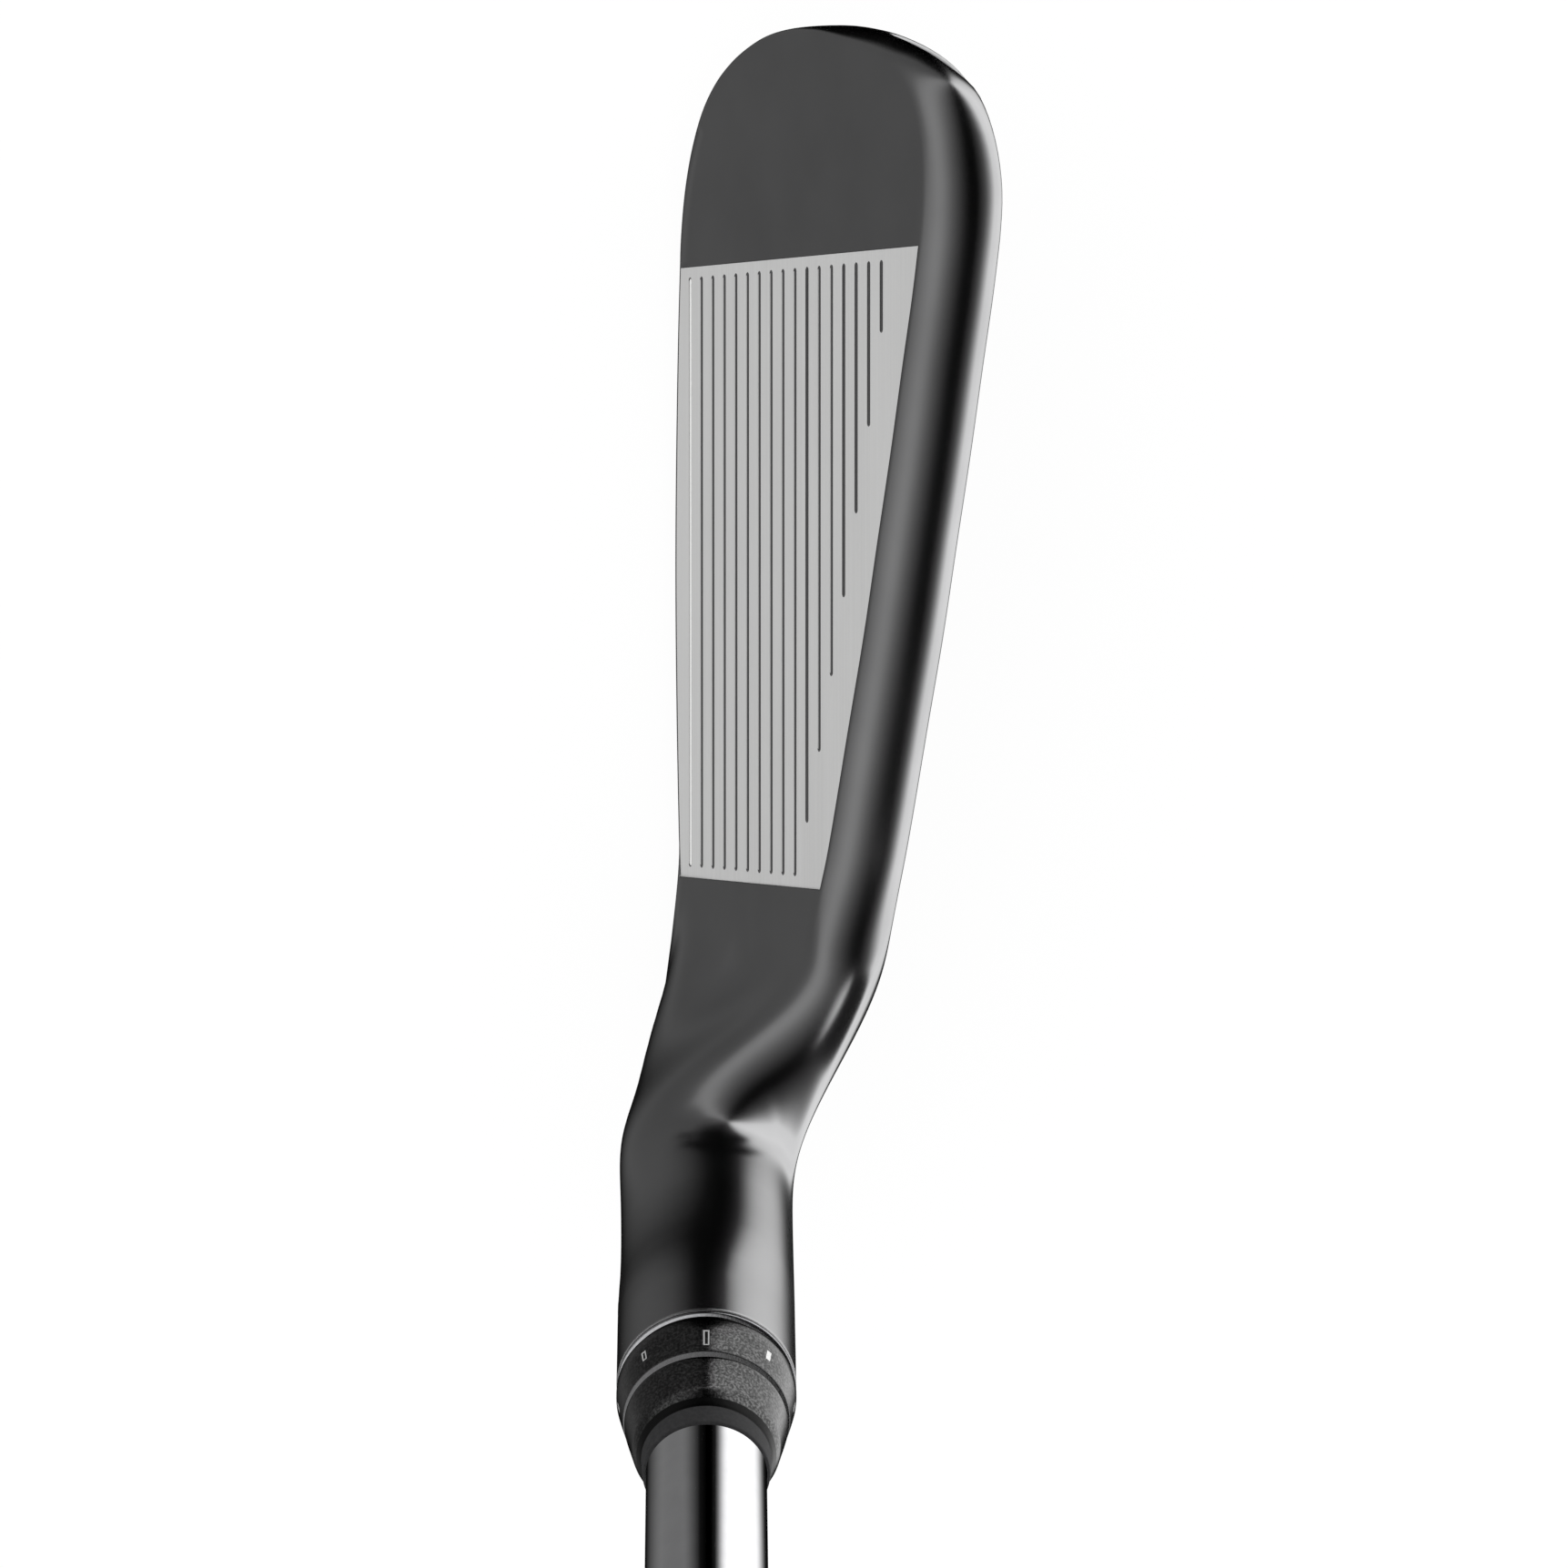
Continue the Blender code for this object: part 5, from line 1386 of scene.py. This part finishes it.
def build_sky():
    world = bpy.data.worlds.new("studio")
    bpy.context.scene.world = world
    sky = Graph(world)
    direction = sky.add("ShaderNodeTexCoord").outputs["Generated"]
    axes = sky.add("ShaderNodeSeparateXYZ", {0: direction}).outputs
    angle = sky.math("ARCTAN2", sky.math("MULTIPLY", axes["Y"], -1.0), axes["Z"])
    turn = sky.math("ADD", sky.math("DIVIDE", angle, 2 * math.pi), 0.5)
    towards_butt = sky.add("ShaderNodeMapRange", {
        "Value": axes["X"], "From Min": -0.70, "From Max": -0.78, "To Min": 0.0, "To Max": 1.0,
    }, interpolation_type="SMOOTHSTEP").outputs[0]
    main, butt = (sky.ramp(turn, [(deg / 360 + 0.5, light / SKY_STRENGTH)
                                  for deg, light in table]) for table in (SKY, SKY_BUTT))
    # 0, 6 and 7 are the colour mix's factor and its two colours; output 2 its result
    mirrored = sky.add("ShaderNodeMix", {0: towards_butt, 6: main, 7: butt},
                       data_type="RGBA").outputs[2]
    glossy = sky.add("ShaderNodeBackground", {"Color": mirrored, "Strength": SKY_STRENGTH})
    even = sky.add("ShaderNodeBackground", {"Color": (1, 1, 1, 1), "Strength": EVEN_STRENGTH})
    is_glossy = sky.add("ShaderNodeLightPath").outputs["Is Glossy Ray"]
    both = sky.add("ShaderNodeMixShader", {
        0: is_glossy, 1: even.outputs[0], 2: glossy.outputs[0]})
    sky.add("ShaderNodeOutputWorld", {"Surface": both.outputs[0]})
    # the sky tells glossy rays apart, so it is sampled by the surfaces alone
    world.cycles.sampling_method = "NONE"


def build_camera():
    """Overhead camera, its places in metres, with -X to the top of the view or
    the bottom as the cross products set it."""
    data = bpy.data.cameras.new("camera")
    camera = bpy.data.objects.new("camera", data)
    bpy.context.scene.collection.objects.link(camera)
    data.sensor_width = 36.0
    data.lens = 159.440510737
    data.clip_start = 0.01
    data.clip_end = 30.0
    eye = Vector((0.0, 0.005, 0.5977))
    target = Vector((-0.01818, -0.00170, 0.0))
    forward = (target - eye).normalized()
    right = forward.cross(Vector((1, 0, 0))).normalized()
    matrix = Matrix((right, right.cross(forward), -forward)).transposed().to_4x4()
    matrix.translation = eye
    camera.matrix_world = matrix
    bpy.context.scene.camera = camera
    bpy.context.scene.view_settings.view_transform = "Standard"


build_head()
build_face()
build_badge()
build_screws()
build_collar()
build_ferrule()
build_shaft()
build_grip()
build_cap()
build_floor()
build_sky()

# the soft gradients of the sky are all that the metal mirrors
for item in bpy.data.objects:
    if item.type == "MESH":
        item.visible_glossy = False

build_camera()
